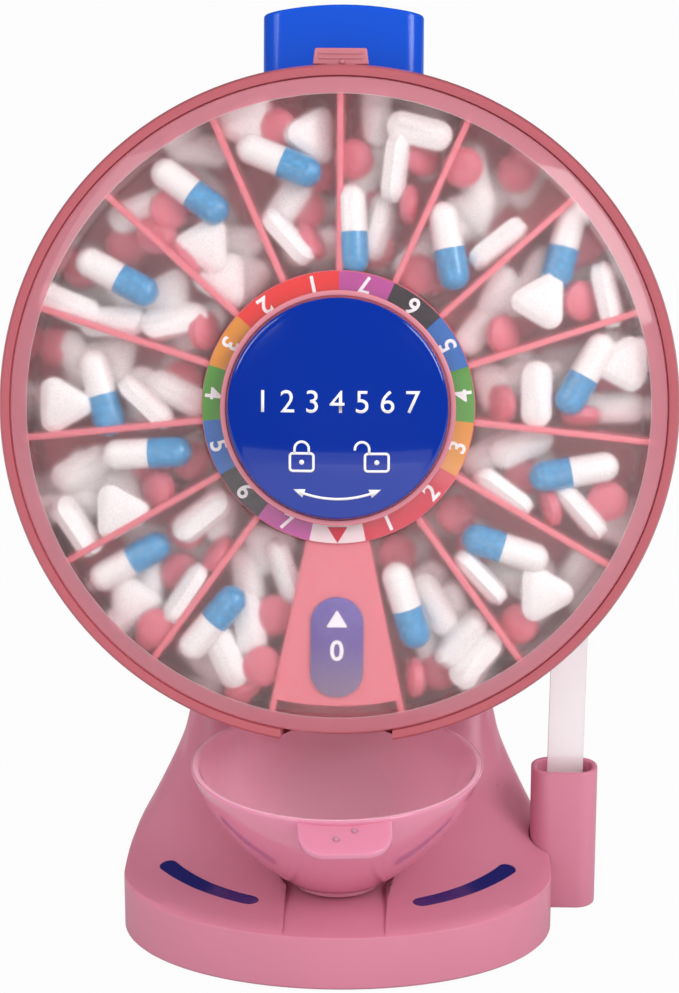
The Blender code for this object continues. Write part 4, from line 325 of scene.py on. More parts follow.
# Pills that show. Each one's kind, ends and depth were read off the photograph by eye, and a separate
# program worked out its degrees, radius and turn from the ends. The columns are its kind, degrees from
# straight down anticlockwise, radius in mm from the hub's middle, degrees that its long axis turns from
# the radius (a capsule's white end outwards at 0), depth in mm below the wheel's face, and roll in
# degrees (90 on its edge)
CAPSULE_LENGTH = 0.0217
CAPSULE_WIDTH = 0.00765
PILLS = (
    ("capsule", 19, 51, 179, 4, 0),
    ("oval", 26, 54, 4, 9, 0),
    ("oval", 28, 64, -70, 6, 60),
    ("oval", 29, 70, -69, 5, 25),
    ("disc", 16, 69, -16, 7, 80),
    ("disc", 21, 70, -21, 11, 0),
    ("capsule", 50, 53, 23, 4, 0),
    ("oval", 40, 54, 4, 5, 75),
    ("triangle", 48, 67, -48, 4, 0),
    ("disc", 40, 69, -41, 7, 30),
    ("capsule", 75, 59, 25, 4, 0),
    ("oval", 63, 45, -9, 5, 65),
    ("disc", 71, 69, -71, 6, 0),
    ("disc", 65, 57, -53, 7, 80),
    ("oval", 67, 64, -25, 5, 80),
    ("oval", 78, 46, 38, 10, 0),
    ("capsule", 98, 60, 53, 4, 0),
    ("oval", 94, 48, 86, 5, 0),
    ("triangle", 99, 69, 82, 5, 0),
    ("disc", 88, 59, 3, 8, 75),
    ("disc", 91, 40, -90, 9, 60),
    ("oval", 90, 67, 1, 11, 0),
    ("capsule", 126, 67, 40, 6, 0),
    ("triangle", 118, 55, 62, 4, 0),
    ("disc", 114, 64, 67, 6, 30),
    ("oval", 113, 70, 81, 5, 60),
    ("disc", 114, 44, 68, 8, 40),
    ("capsule", 146, 47, 45, 4, 0),
    ("disc", 153, 65, 27, 6, 0),
    ("oval", 136, 55, -7, 5, 60),
    ("disc", 149, 38, 31, 9, 0),
    ("oval", 152, 43, -17, 11, 0),
    ("capsule", 176, 43, 7, 4, 0),
    ("disc", 177, 60, 3, 9, 0),
    ("oval", 167, 59, 7, 5, 60),
    ("oval", 164, 69, -88, 5, 0),
    ("disc", 161, 52, 19, 8, 80),
    ("oval", 168, 45, -3, 10, 40),
    ("disc", 162, 64, 18, 9, 30),
    ("capsule", 194, 61, 54, 4, 0),
    ("disc", 193, 69, -13, 8, 0),
    ("triangle", 198, 71, -18, 9, 0),
    ("triangle", 186, 66, -6, 8, 30),
    ("oval", 197, 43, 25, 5, 65),
    ("disc", 190, 41, 22, 8, 75),
    ("oval", 195, 51, -50, 11, 0),
    ("capsule", 215, 63, 19, 4, 0),
    ("oval", 226, 68, 67, 10, 0),
    ("disc", 221, 63, -42, 7, 20),
    ("disc", 227, 61, -47, 8, 0),
    ("disc", 226, 52, -9, 8, 75),
    ("triangle", 220, 51, -40, 7, 0),
    ("triangle", 223, 42, -44, 9, 0),
    ("capsule", 240, 62, 2, 4, 0),
    ("oval", 250, 70, -2, 6, 0),
    ("oval", 250, 59, 20, 8, 0),
    ("oval", 243, 45, 39, 6, 20),
    ("disc", 241, 38, -61, 7, 60),
    ("triangle", 238, 50, -58, 10, 0),
    ("triangle", 270, 67, 90, 5, 0),
    ("capsule", 267, 58, -71, 6, 0),
    ("oval", 269, 47, -43, 5, 75),
    ("oval", 266, 40, -23, 10, 0),
    ("capsule", 284, 48, -11, 4, 0),
    ("triangle", 296, 59, 64, 4, 0),
    ("oval", 295, 70, -81, 5, 55),
    ("oval", 284, 65, 13, 10, 0),
    ("disc", 295, 49, 65, 8, 40),
    ("capsule", 307, 64, -7, 7, 0),
    ("oval", 309, 43, 0, 6, 30),
    ("triangle", 314, 70, 46, 9, 0),
    ("disc", 321, 70, 39, 5, 0),
    ("oval", 321, 59, 6, 5, 75),
    ("disc", 321, 47, -2, 7, 75),
    ("capsule", 330, 61, -10, 4, 0),
    ("oval", 338, 58, 33, 8, 0),
    ("oval", 336, 67, 50, 6, 0),
    ("disc", 343, 54, 17, 8, 0),
    ("disc", 344, 66, 16, 5, 0),
    ("disc", 341, 71, 19, 7, 0),
    ("oval", 342, 43, 39, 8, 50),
)
OVAL_HALF_LENGTH = 0.0080
OVAL_HALF_WIDTH = 0.0036
OVAL_CORNER = 0.0035
DISC_RADIUS = 0.0048
TRIANGLE_REACH = 0.0042
TRIANGLE_CORNER = 0.0030
TABLET_THICKNESS = {"oval": 0.0052, "disc": 0.0040, "triangle": 0.0050}
TABLET_CROWN = {"oval": 0.0013, "disc": 0.0010, "triangle": 0.0012}

# Pills behind those, in two layers, whose places nothing in the photograph gives
DEEP_SEED = 7
DEEP_RADII = (0.040, 0.049, 0.0575, 0.0655, 0.0715)
DEEP_LAYERS = (0.0125, 0.0180)
DEEP_CLEARANCE = 0.0062
DEEP_TIP = 0.3
DEEP_KINDS = ("oval", "disc", "triangle", "disc", "oval")


def add_node(tree, kind, values=None, links=None):
    """Adds a node. Values go to its sockets or settings by name, and links to its inputs."""
    node = tree.nodes.new(kind)
    for name, value in (values or {}).items():
        if name == "stops":
            ramp = node.color_ramp.elements
            while len(ramp) < len(value):
                ramp.new(0.5)
            for element, (place, colour) in zip(ramp, value):
                element.position = place
                element.color = (*colour, 1)
        elif name in node.inputs:
            node.inputs[name].default_value = value
        else:
            setattr(node, name, value)
    link_up(tree, node, links or {})
    return node


def link_up(tree, node, links):
    """Links a node's inputs by name or number, each to an output of another node."""
    for name, (source, output) in links.items():
        tree.links.new(source.outputs[output], node.inputs[name])


def new_material(name, values):
    made = bpy.data.materials.new(name)
    made.use_nodes = True
    shader = made.node_tree.nodes["Principled BSDF"]
    for socket, value in values.items():
        shader.inputs[socket].default_value = value
    return made, made.node_tree, shader


def moulded_plastic(name, colour, roughness, grain, depth, values=None, cloud=0.06):
    """A moulded plastic: a fine spark-eroded grain, slightly uneven gloss and a faint cloud of colour."""
    made, tree, shader = new_material(name, {"IOR": 1.5, **(values or {})})
    place = add_node(tree, "ShaderNodeTexCoord")
    fine = add_node(tree, "ShaderNodeTexNoise", {"Scale": 1 / grain, "Detail": 3.0},
                    {"Vector": (place, "Object")})
    bump = add_node(tree, "ShaderNodeBump", {"Distance": depth, "Strength": 1.0}, {"Height": (fine, "Fac")})
    wide = add_node(tree, "ShaderNodeTexNoise", {"Scale": 1 / 0.030, "Detail": 2.0},
                    {"Vector": (place, "Object")})
    dark = [c * (1 - cloud) for c in colour]
    light = [min(c * (1 + cloud), 1) for c in colour]
    tone = add_node(tree, "ShaderNodeValToRGB", {"stops": ((0.0, dark), (1.0, light))},
                    {"Fac": (wide, "Fac")})
    gloss = add_node(tree, "ShaderNodeMapRange",
                     {"To Min": roughness * 0.8, "To Max": roughness * 1.2},
                     {"Value": (wide, "Fac")})
    link_up(tree, shader, {"Base Color": (tone, "Color"), "Roughness": (gloss, "Result"),
                           "Normal": (bump, "Normal")})
    return made


def brushed_metal(name, colour, roughness, line):
    """Turned or drawn metal, with fine lines that stretch its highlights."""
    made, tree, shader = new_material(name, {"Metallic": 1.0, "Base Color": (*colour, 1)})
    place = add_node(tree, "ShaderNodeTexCoord")
    stretch = add_node(tree, "ShaderNodeMapping", {"Scale": (1.0, 1.0, 12.0)}, {"Vector": (place, "Object")})
    lines = add_node(tree, "ShaderNodeTexNoise", {"Scale": 1 / (line * 12), "Detail": 4.0},
                     {"Vector": (stretch, "Vector")})
    gloss = add_node(tree, "ShaderNodeMapRange",
                     {"From Min": 0.3, "From Max": 0.7,
                      "To Min": roughness * 0.8, "To Max": roughness * 1.3},
                     {"Value": (lines, "Fac")})
    bump = add_node(tree, "ShaderNodeBump", {"Distance": 0.000004}, {"Height": (lines, "Fac")})
    link_up(tree, shader, {"Roughness": (gloss, "Result"), "Normal": (bump, "Normal")})
    return made


def pass_light(tree, shader, tint):
    """Lets lamp light through a clear wall, which a shadow would else stop."""
    output = tree.nodes["Material Output"]
    path = add_node(tree, "ShaderNodeLightPath")
    clear = add_node(tree, "ShaderNodeBsdfTransparent", {"Color": (*tint, 1)})
    mix = add_node(tree, "ShaderNodeMixShader")
    link_up(tree, mix, {"Fac": (path, "Is Shadow Ray"), 1: (shader, "BSDF"), 2: (clear, "BSDF")})
    tree.links.new(mix.outputs["Shader"], output.inputs["Surface"])


def cover_material(colours, sizes):
    """Clear polycarbonate with an etched inner face: frosted over the sectors, clear at rim and hub, with a
    painted pink rim band that stands in for the lit drum wall seen through it.
    """
    made, tree, shader = new_material("etched_polycarbonate", {"IOR": 1.49, "Specular IOR Level": 0.35})
    place = add_node(tree, "ShaderNodeTexCoord")
    turned = add_node(tree, "ShaderNodeMapping",
                      {"vector_type": "TEXTURE", "Location": WHEEL_CENTRE, "Rotation": WHEEL.to_euler()},
                      {"Vector": (place, "Object")})
    flat = add_node(tree, "ShaderNodeVectorMath", {"operation": "MULTIPLY"}, {0: (turned, "Vector")})
    flat.inputs[1].default_value = (1, 1, 0)
    radius = add_node(tree, "ShaderNodeVectorMath", {"operation": "LENGTH"}, {0: (flat, "Vector")})
    outer = add_node(tree, "ShaderNodeMapRange",
                     {"From Min": sizes.frost_outer, "From Max": sizes.frost_outer + 0.0006,
                      "To Min": sizes.frost_roughness, "To Max": 0.06}, {"Value": (radius, "Value")})
    inner = add_node(tree, "ShaderNodeMapRange",
                     {"From Min": sizes.frost_inner - 0.0006, "From Max": sizes.frost_inner,
                      "To Min": 0.06, "To Max": 1.0}, {"Value": (radius, "Value")})
    gloss = add_node(tree, "ShaderNodeMath", {"operation": "MINIMUM"})
    link_up(tree, gloss, {0: (outer, "Result"), 1: (inner, "Result")})
    grain = add_node(tree, "ShaderNodeTexNoise", {"Scale": 1 / sizes.frost_grain, "Detail": 1.0},
                     {"Vector": (place, "Object")})
    etched = add_node(tree, "ShaderNodeMapRange", {"From Min": 0.06, "From Max": sizes.frost_roughness},
                      {"Value": (gloss, "Value")})
    bump = add_node(tree, "ShaderNodeBump", {"Distance": sizes.frost_depth}, {"Height": (grain, "Fac")})
    tree.links.new(etched.outputs["Result"], bump.inputs["Strength"])
    speckle = add_node(tree, "ShaderNodeMapRange",
                       {"From Min": 0.50, "From Max": 0.75, "To Min": 1.0, "To Max": 0.90},
                       {"Value": (grain, "Fac")})
    # Past the frost, the rim band lets less light through and takes painted pink, which stands in for the lit pink
    # drum wall seen through it
    band = add_node(tree, "ShaderNodeMapRange",
                    {"From Min": sizes.frost_outer, "From Max": sizes.frost_outer + 0.0004,
                     "To Min": 1.0, "To Max": 0.45}, {"Value": (radius, "Value")})
    etch = add_node(tree, "ShaderNodeMath", {"operation": "MINIMUM"},
                    {0: (speckle, "Result"), 1: (band, "Result")})
    inside = add_node(tree, "ShaderNodeMath", {"operation": "LESS_THAN"}, {0: (radius, "Value")})
    inside.inputs[1].default_value = sizes.frost_inner
    share = add_node(tree, "ShaderNodeMath", {"operation": "MAXIMUM"},
                     {0: (etch, "Value"), 1: (inside, "Value")})
    tree.links.new(share.outputs["Value"], shader.inputs["Transmission Weight"])
    # Painted pink where less light gets through, which stands in for the lit drum wall behind the rim band
    tone = add_node(tree, "ShaderNodeValToRGB",
                    {"stops": ((0.0, linear("#D9939F")), (1.0, colours.cover))})
    rim = add_node(tree, "ShaderNodeMapRange", {"From Min": 0.45, "From Max": 0.88},
                   {"Value": (share, "Value")})
    tree.links.new(rim.outputs["Result"], tone.inputs["Fac"])
    link_up(tree, shader, {"Base Color": (tone, "Color"), "Roughness": (gloss, "Value"),
                           "Normal": (bump, "Normal")})
    pass_light(tree, shader, (0.98, 0.98, 0.98))
    return made


def translucent_plastic(name, colour, roughness, clear, tint, values=None):
    """A tinted see-through moulding, such as polypropylene or a gelatin shell."""
    made, tree, shader = new_material(
        name,
        {"Base Color": (*colour, 1), "IOR": 1.49, "Transmission Weight": clear, "Roughness": roughness,
         **(values or {})},
    )
    place = add_node(tree, "ShaderNodeTexCoord")
    fine = add_node(tree, "ShaderNodeTexNoise", {"Scale": 1 / 0.004, "Detail": 2.0},
                    {"Vector": (place, "Object")})
    bump = add_node(tree, "ShaderNodeBump", {"Distance": 0.00001, "Strength": 1.0},
                    {"Height": (fine, "Fac")})
    tree.links.new(bump.outputs["Normal"], shader.inputs["Normal"])
    pass_light(tree, shader, tint)
    return made


def finishes(colours, sizes):
    """Every material of the object, made once and then looked up by name."""
    if "pink_abs" in bpy.data.materials:
        return bpy.data.materials
    soft = {"Subsurface Weight": 0.12, "Subsurface Radius": (0.004, 0.0015, 0.0015), "Subsurface Scale": 1.0}
    # ABS, injection moulded in a lightly textured tool: soft broad highlights
    moulded_plastic("pink_abs", colours.stand, 0.30, 0.0007, 0.000006, soft)
    moulded_plastic("coral_abs", colours.drum, 0.30, 0.0007, 0.000006, soft)
    # Polypropylene tray: a waxier surface that lets a little light in
    moulded_plastic("tray_polypropylene", colours.tray, 0.38, 0.0009, 0.000010, soft)
    # Gloss ABS cap and the doming resin on the knob: hard, sharp highlights
    moulded_plastic("blue_gloss_abs", colours.button, 0.22, 0.0008, 0.000004, {"Coat Weight": 0.15})
    moulded_plastic("knob_doming_resin", colours.knob, 0.10, 0.0030, 0.000002,
                    {"Coat Weight": 1.0, "Coat Roughness": 0.03}, 0.03)
    moulded_plastic("inlay_gloss_acrylic", colours.inlay, 0.18, 0.0030, 0.000002,
                    {"Coat Weight": 0.6, "Coat Roughness": 0.12}, 0.05)
    # Screen ink: thin, flat and slightly uneven
    moulded_plastic("white_screen_ink", linear("#F4F1F4"), 0.45, 0.0003, 0.000003)
    moulded_plastic("scarlet_screen_ink", linear("#D01434"), 0.45, 0.0003, 0.000003)
    for ink, colour in LABEL_INKS.items():
        moulded_plastic(f"{ink}_label_print", linear(colour), 0.32, 0.0005, 0.000003, {"Coat Weight": 0.4})
    moulded_plastic("pale_ring_abs", colours.ring, 0.25, 0.0007, 0.000005)
    moulded_plastic("catch_abs", linear("#C67782"), 0.30, 0.0007, 0.000006, soft)
    start_badge_material()
    # Film-coated tablets: chalky white and pink, and hard gelatin capsule halves
    moulded_plastic("white_tablet_coat", linear("#ECEBEA"), 0.50, 0.0006, 0.000012)
    moulded_plastic("pink_tablet_coat", linear("#D06A7C"), 0.50, 0.0006, 0.000012, soft)
    moulded_plastic("white_gelatin", linear("#ECEBEA"), 0.18, 0.0030, 0.000004, {"Coat Weight": 0.6})
    beaded_gelatin(colours)
    cover_material(colours, sizes)
    # Styrene moulded in a polished tool: light spreads inside its wall, and its gloss is hard
    styrene = {**soft, "Subsurface Weight": 0.45, "Subsurface Radius": (0.010, 0.006, 0.007),
               "Coat Weight": 0.8, "Coat Roughness": 0.03}
    moulded_plastic("bowl_styrene", colours.bowl, 0.14, 0.0030, 0.000003, styrene, 0.03)
    # Painted light: the bowl's inside takes a lighter copy of its pink. It stands in for light that reaches the
    # inside through the thin wall, and it lifts the shade under the drum
    moulded_plastic("bowl_styrene_painted_light_inside", linear("#FFB4C8"), 0.14, 0.0030, 0.000003, styrene, 0.03)
    translucent_plastic("stick_polypropylene", linear("#F4EEF0"), 0.35, 0.45, (0.9, 0.86, 0.88))
    brushed_metal("zinc_plated_steel", linear("#C3C5C8"), 0.28, 0.0003)
    brushed_metal("turned_brass", linear("#C9A14A"), 0.25, 0.0003)
    moulded_plastic("black_rubber", linear("#1E1D1D"), 0.75, 0.0006, 0.000030)
    moulded_plastic("natural_acetal", linear("#E4E2DA"), 0.42, 0.0008, 0.000008)
    return bpy.data.materials


def beaded_gelatin(colours):
    """A blue gelatin half that shows the beads inside as a soft cellular pattern."""
    made, tree, shader = new_material("blue_gelatin", {"IOR": 1.5, "Roughness": 0.18, "Coat Weight": 0.7})
    place = add_node(tree, "ShaderNodeTexCoord")
    beads = add_node(tree, "ShaderNodeTexVoronoi", {"Scale": 1 / 0.0014}, {"Vector": (place, "Object")})
    dark = [c * 0.82 for c in colours.capsule]
    light = [min(c * 1.15, 1) for c in colours.capsule]
    tone = add_node(tree, "ShaderNodeValToRGB", {"stops": ((0.1, light), (0.6, dark))},
                    {"Fac": (beads, "Distance")})
    tree.links.new(tone.outputs["Color"], shader.inputs["Base Color"])
    return made


def start_badge_material():
    """The start badge's print: violet that greys towards its foot."""
    made, tree, shader = new_material("violet_badge_print", {"IOR": 1.5, "Roughness": 0.35})
    place = add_node(tree, "ShaderNodeTexCoord")
    turned = add_node(tree, "ShaderNodeMapping",
                      {"vector_type": "TEXTURE", "Location": WHEEL_CENTRE, "Rotation": WHEEL.to_euler()},
                      {"Vector": (place, "Object")})
    apart = add_node(tree, "ShaderNodeSeparateXYZ", {}, {"Vector": (turned, "Vector")})
    down = add_node(tree, "ShaderNodeMapRange", {"From Min": -0.047, "From Max": -0.070},
                    {"Value": (apart, "Y")})
    tone = add_node(tree, "ShaderNodeValToRGB",
                    {"stops": ((0.0, linear("#5A48A0")), (0.45, linear("#553A90")),
                               (1.0, linear("#83708C")))},
                    {"Fac": (down, "Result")})
    grain = add_node(tree, "ShaderNodeTexNoise", {"Scale": 1 / 0.0006}, {"Vector": (place, "Object")})
    bump = add_node(tree, "ShaderNodeBump", {"Distance": 0.00001}, {"Height": (grain, "Fac")})
    link_up(tree, shader, {"Base Color": (tone, "Color"), "Normal": (bump, "Normal")})
    return made


def piece(name, bm, body, materials, replaces=(), place=None):
    """Makes a piece of a bmesh, laid in its place, and lets it ride on its body."""
    if place is not None:
        bm.transform(place)
    bmesh.ops.recalc_face_normals(bm, faces=bm.faces)
    mesh = bpy.data.meshes.new(name)
    bm.to_mesh(mesh)
    bm.free()
    mesh.shade_smooth()
    mesh.set_sharp_from_angle(angle=SMOOTH_ANGLE)
    for material in materials:
        mesh.materials.append(bpy.data.materials[material])
    obj = bpy.data.objects.new(name, mesh)
    bpy.context.scene.collection.objects.link(obj)
    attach(obj, body)
    if replaces:
        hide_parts(*replaces)
    return obj


def spun(profile, steps=ROUND_STEPS, closed=True, angle=2 * math.pi):
    """A bmesh turned about Z from a profile of (radius, height) points."""
    bm = bmesh.new()
    verts = [bm.verts.new((r, 0, z)) for r, z in profile]
    pairs = list(zip(verts, verts[1:])) + ([(verts[-1], verts[0])] if closed else [])
    edges = [bm.edges.new(p) for p in pairs if p[0].co.x > WELD or p[1].co.x > WELD]
    full = math.isclose(angle, 2 * math.pi)
    bmesh.ops.spin(bm, geom=verts + edges, cent=(0, 0, 0), axis=(0, 0, 1), angle=angle, steps=steps,
                   use_merge=full)
    bmesh.ops.remove_doubles(bm, verts=bm.verts, dist=WELD)
    bmesh.ops.recalc_face_normals(bm, faces=bm.faces)
    return bm


def flat_ring(node, inner, steps):
    """A flat ring with a CAD node's outer radius and heights, from an inner radius."""
    low, high, radius = wheel_extent(node)
    return spun([(inner, low.z), (radius, low.z), (radius, high.z), (inner, high.z)], steps)


def round_edges(bm, width, segments=3, angle=math.radians(40), chosen=None):
    """Rounds the edges that turn by more than an angle, and that a test picks if there is one."""
    edges = [e for e in bm.edges
             if e.is_manifold and e.calc_face_angle(0) > angle and (chosen is None or chosen(e))]
    bmesh.ops.bevel(bm, geom=edges, offset=width, offset_type="OFFSET", affect="EDGES", segments=segments,
                    profile=0.5, material=-1, clamp_overlap=True)
    return bm


def prism(outline, low, high):
    """A flat outline of (x, y) points, extruded from one height to another."""
    bm = bmesh.new()
    face = bm.faces.new([bm.verts.new((x, y, low)) for x, y in outline])
    risen = bmesh.ops.extrude_face_region(bm, geom=[face])["geom"]
    verts = [g for g in risen if isinstance(g, bmesh.types.BMVert)]
    bmesh.ops.translate(bm, verts=verts, vec=(0, 0, high - low))
    bmesh.ops.recalc_face_normals(bm, faces=bm.faces)
    return bm


def block(low, high):
    bm = bmesh.new()
    low, high = Vector(low), Vector(high)
    place = Matrix.Translation((low + high) / 2) @ Matrix.Diagonal((*(high - low), 1))
    bmesh.ops.create_cube(bm, size=1, matrix=place)
    return bm


def arc(radius, start, end, steps, centre=(0, 0)):
    turn = (end - start) / steps
    return [
        (centre[0] + radius * math.cos(start + turn * i), centre[1] + radius * math.sin(start + turn * i))
        for i in range(steps + 1)
    ]


def rounded_rectangle(left, right, bottom, top, radius, steps=10):
    quarter = math.pi / 2
    corners = (
        (right - radius, bottom + radius, -quarter),
        (right - radius, top - radius, 0),
        (left + radius, top - radius, quarter),
        (left + radius, bottom + radius, 2 * quarter),
    )
    return [p for x, y, a in corners for p in arc(radius, a, a + quarter, steps, (x, y))]


def to_object(bm, name):
    mesh = bpy.data.meshes.new(name)
    bm.to_mesh(mesh)
    bm.free()
    obj = bpy.data.objects.new(name, mesh)
    bpy.context.scene.collection.objects.link(obj)
    return obj


def carved(bm, cutters, operation="DIFFERENCE", solver="MANIFOLD"):
    """The bmesh after Booleans with other bmeshes, which are used up."""
    obj = to_object(bm, "carving")
    helpers = [to_object(cutter, "cutter") for cutter in cutters]
    for helper in helpers:
        modifier = obj.modifiers.new("carve", "BOOLEAN")
        modifier.operation = operation
        modifier.solver = solver
        modifier.object = helper
    bpy.context.view_layer.update()
    graph = bpy.context.evaluated_depsgraph_get()
    mesh = bpy.data.meshes.new_from_object(obj.evaluated_get(graph))
    made = bmesh.new()
    made.from_mesh(mesh)
    for used in [obj, *helpers]:
        data = used.data
        bpy.data.objects.remove(used)
        bpy.data.meshes.remove(data)
    bpy.data.meshes.remove(mesh)
    bmesh.ops.remove_doubles(made, verts=made.verts, dist=WELD)
    return made


def merged(*parts):
    """One bmesh of the others side by side, each with its material number, or its own for None."""
    whole = bmesh.new()
    for bm, index in parts:
        for face in bm.faces:
            face.material_index = face.material_index if index is None else index
        mesh = bpy.data.meshes.new("part")
        bm.to_mesh(mesh)
        bm.free()
        whole.from_mesh(mesh)
        bpy.data.meshes.remove(mesh)
    return whole


def words(text, height, thickness, bolder=0.00012):
    """A bmesh of raised text, centred on its middle, with its face up +Z."""
    curve = bpy.data.curves.new("words", "FONT")
    curve.body = text
    curve.size = height
    curve.align_x = "CENTER"
    curve.align_y = "CENTER"
    curve.extrude = thickness / 2
    curve.offset = bolder
    holder = bpy.data.objects.new("words", curve)
    bpy.context.scene.collection.objects.link(holder)
    bpy.context.view_layer.update()
    graph = bpy.context.evaluated_depsgraph_get()
    mesh = bpy.data.meshes.new_from_object(holder.evaluated_get(graph))
    bm = bmesh.new()
    bm.from_mesh(mesh)
    bpy.data.objects.remove(holder)
    bpy.data.curves.remove(curve)
    bpy.data.meshes.remove(mesh)
    bmesh.ops.remove_doubles(bm, verts=bm.verts, dist=WELD)
    return bm


def wheel_point(v, w):
    """Y and Z, in the stand's frame, of a point on the wheel's middle plane."""
    point = WHEEL @ Vector((0, v, w))
    return Vector((point.y - BASE_Y, point.z))


def power_curve(value, power):
    return math.copysign(abs(value) ** (2 / power), value)


def stand_ring(front, rear, half_width, centre, front_power, rear_power, lift_power=1, inset=0):
    """A function from a turn to a point on a ring between a front and a rear (y, z), inset by a wall."""
    front, rear = Vector(front), Vector(rear)
    length = (rear - front).length

    def point(turn):
        power = front_power if math.sin(turn) < 0 else rear_power
        reach = length * (centre if math.sin(turn) < 0 else 1 - centre) - inset
        share = centre + reach * power_curve(math.sin(turn), power) / length
        x = (half_width - inset) * power_curve(math.cos(turn), power)
        y = front.x + (rear.x - front.x) * share
        z = front.y + (rear.y - front.y) * max(share, 0) ** lift_power
        return Vector((x, y + BASE_Y, z))

    return point


def base_ring(z, inset=0):
    centre = BASE_FRONT / (BASE_FRONT + BASE_REAR)
    return stand_ring((-BASE_FRONT, z), (BASE_REAR, z), BASE_HALF_WIDTH, centre, 2, BASE_REAR_POWER,
                      inset=inset)


def bend_v():
    return (BASE_REAR - wheel_point(0, PYLON_REAR_W).x) / math.sin(WHEEL_TILT)


def rear_z(share):
    return BASE_HEIGHT + (wheel_point(bend_v(), PYLON_REAR_W).y - BASE_HEIGHT) * share


def pylon_half_width(share):
    return WAIST_HALF_WIDTH + (SHOULDER_HALF_WIDTH - WAIST_HALF_WIDTH) * share


def ramp_front_y(z):
    rise = max(z - BASE_HEIGHT, 0) / (RAMP_TOP - BASE_HEIGHT)
    return -RAMP_START + (RAMP_START + ALCOVE_DEPTH) * rise ** (1 / 3)


def filled_in(rows, between):
    """A table with rows put in between by a smooth curve through each column."""
    found = []
    last = len(rows) - 1
    for i in range(last):
        a, b, c, d = rows[max(i - 1, 0)], rows[i], rows[i + 1], rows[min(i + 2, last)]
        for step in range(between + 1):
            t = step / (between + 1)
            found.append(tuple(
                0.5 * (2 * q + (r - p) * t + (2 * p - 5 * q + 4 * r - s) * t * t
                       + (3 * q - p - 3 * r + s) * t ** 3)
                for p, q, r, s in zip(a, b, c, d)
            ))
    return found + [rows[-1]]


def ramp_rings(inset, between):
    rings = []
    for rise, width, rear, centre, front_power, rear_power in filled_in(RAMP_RING_SHARES, between):
        z = BASE_HEIGHT + (RAMP_TOP - BASE_HEIGHT) * max(rise, 0)
        rings.append(stand_ring((ramp_front_y(z), z - inset), (BASE_REAR, rear_z(rear)),
                                BASE_HALF_WIDTH * width, centre, front_power, rear_power, 2, inset))
    return rings


def alcove_rings(inset):
    heights = (ALCOVE_TOP - SHELL_WALL / 2, ALCOVE_TOP + inset * 1.4)
    return [
        stand_ring((ALCOVE_DEPTH, z), (BASE_REAR, rear_z(share)), WAIST_HALF_WIDTH, 0.5, 4, 5.5, 2, inset)
        for share, z in zip(ALCOVE_REAR_SHARES, heights)
    ]


def pylon_rings(inset, between):
    rings = []
    for rise, width, rear in filled_in(PYLON_RING_SHARES, between):
        v = PYLON_FOOT_V + (bend_v() - PYLON_FOOT_V) * rise
        front = wheel_point(v + inset * (1.4 if rise == 0 else 0), PYLON_FRONT_W)
        rings.append(stand_ring(front, (BASE_REAR, rear_z(rear)), pylon_half_width(width), 0.5,
                                PYLON_POWER, PYLON_POWER, 2 - rise, inset))
    return rings


def upper_rings(inset, between):
    rings = []
    for rise, width in filled_in(UPPER_RING_SHARES, between)[1:]:
        v = bend_v() + (SHOULDER_V - inset - bend_v()) * rise
        rings.append(stand_ring(wheel_point(v, PYLON_FRONT_W), wheel_point(v, PYLON_REAR_W),
                                pylon_half_width(width), 0.5, PYLON_POWER, PYLON_POWER, 1, inset))
    return rings


def lofted(rings, steps):
    """A closed bmesh through rings: a circle is laid on the first and drawn up through the others."""
    bm = bmesh.new()
    turn = bm.verts.layers.float.new("turn")
    verts = bmesh.ops.create_circle(bm, segments=steps, radius=1)["verts"]
    for vert in verts:
        vert[turn] = math.atan2(vert.co.y, vert.co.x)
        vert.co = rings[0](vert[turn])
    edges = list(bm.edges)
    for ring in rings[1:]:
        grown = bmesh.ops.extrude_edge_only(bm, edges=edges)["geom"]
        verts = [g for g in grown if isinstance(g, bmesh.types.BMVert)]
        fresh = set(verts)
        edges = [g for g in grown if isinstance(g, bmesh.types.BMEdge) and set(g.verts) <= fresh]
        for vert in verts:
            vert.co = ring(vert[turn])
    bmesh.ops.holes_fill(bm, edges=[e for e in bm.edges if e.is_boundary], sides=0)
    bmesh.ops.recalc_face_normals(bm, faces=bm.faces)
    return bm


def stand_outer(edge=0.0):
    rings = [base_ring(FOOT_STAND, BASE_EDGE), base_ring(FOOT_STAND + BASE_EDGE),
             base_ring(BASE_HEIGHT - BASE_EDGE)]
    rings += ramp_rings(0, RINGS_BETWEEN) + alcove_rings(0)
    rings += pylon_rings(0, RINGS_BETWEEN) + upper_rings(0, RINGS_BETWEEN)
    bm = lofted(rings, STAND_STEPS)
    if edge:
        top = BASE_HEIGHT + BASE_EDGE
        round_edges(bm, edge, 4, math.radians(28), lambda e: max(v.co.z for v in e.verts) < top)
    return bm


def stand_cavity():
    wall = SHELL_WALL
    rings = [base_ring(FOOT_STAND - wall, wall), base_ring(BASE_HEIGHT - BASE_EDGE - wall, wall)]
    rings += ramp_rings(wall, 0) + alcove_rings(wall) + pylon_rings(wall, 0) + upper_rings(wall, 0)
    return lofted(rings, CAVITY_STEPS)


def rear_slab(gap=0):
    """The space behind the split between the shell and its rear cover."""
    split = BASE_REAR - REAR_SPLIT + gap
    split_w = PYLON_REAR_W + REAR_SPLIT - gap
    bend = (split - wheel_point(0, split_w).x) / math.sin(WHEEL_TILT)
    top = REAR_COVER_TOP_V - gap
    far = wheel_point(top, PYLON_REAR_W - PYLON_DEPTH)
    outline = [(split, REAR_COVER_FOOT + gap), (split, wheel_point(bend, split_w).y),
               tuple(wheel_point(top, split_w)), tuple(far), (far.x, REAR_COVER_FOOT + gap)]
    bm = prism([(y + BASE_Y, z) for y, z in outline], -2 * BASE_HALF_WIDTH, 2 * BASE_HALF_WIDTH)
    bm.transform(HEIGHT_ALONG_X)
    return bm


def bowl_radius(share):
    straight = BOWL_BELLY_RADIUS + (BOWL_RIM_RADIUS - BOWL_BELLY_RADIUS) * share
    return straight + BOWL_BELLY_BOW * 4 * share * (1 - share)


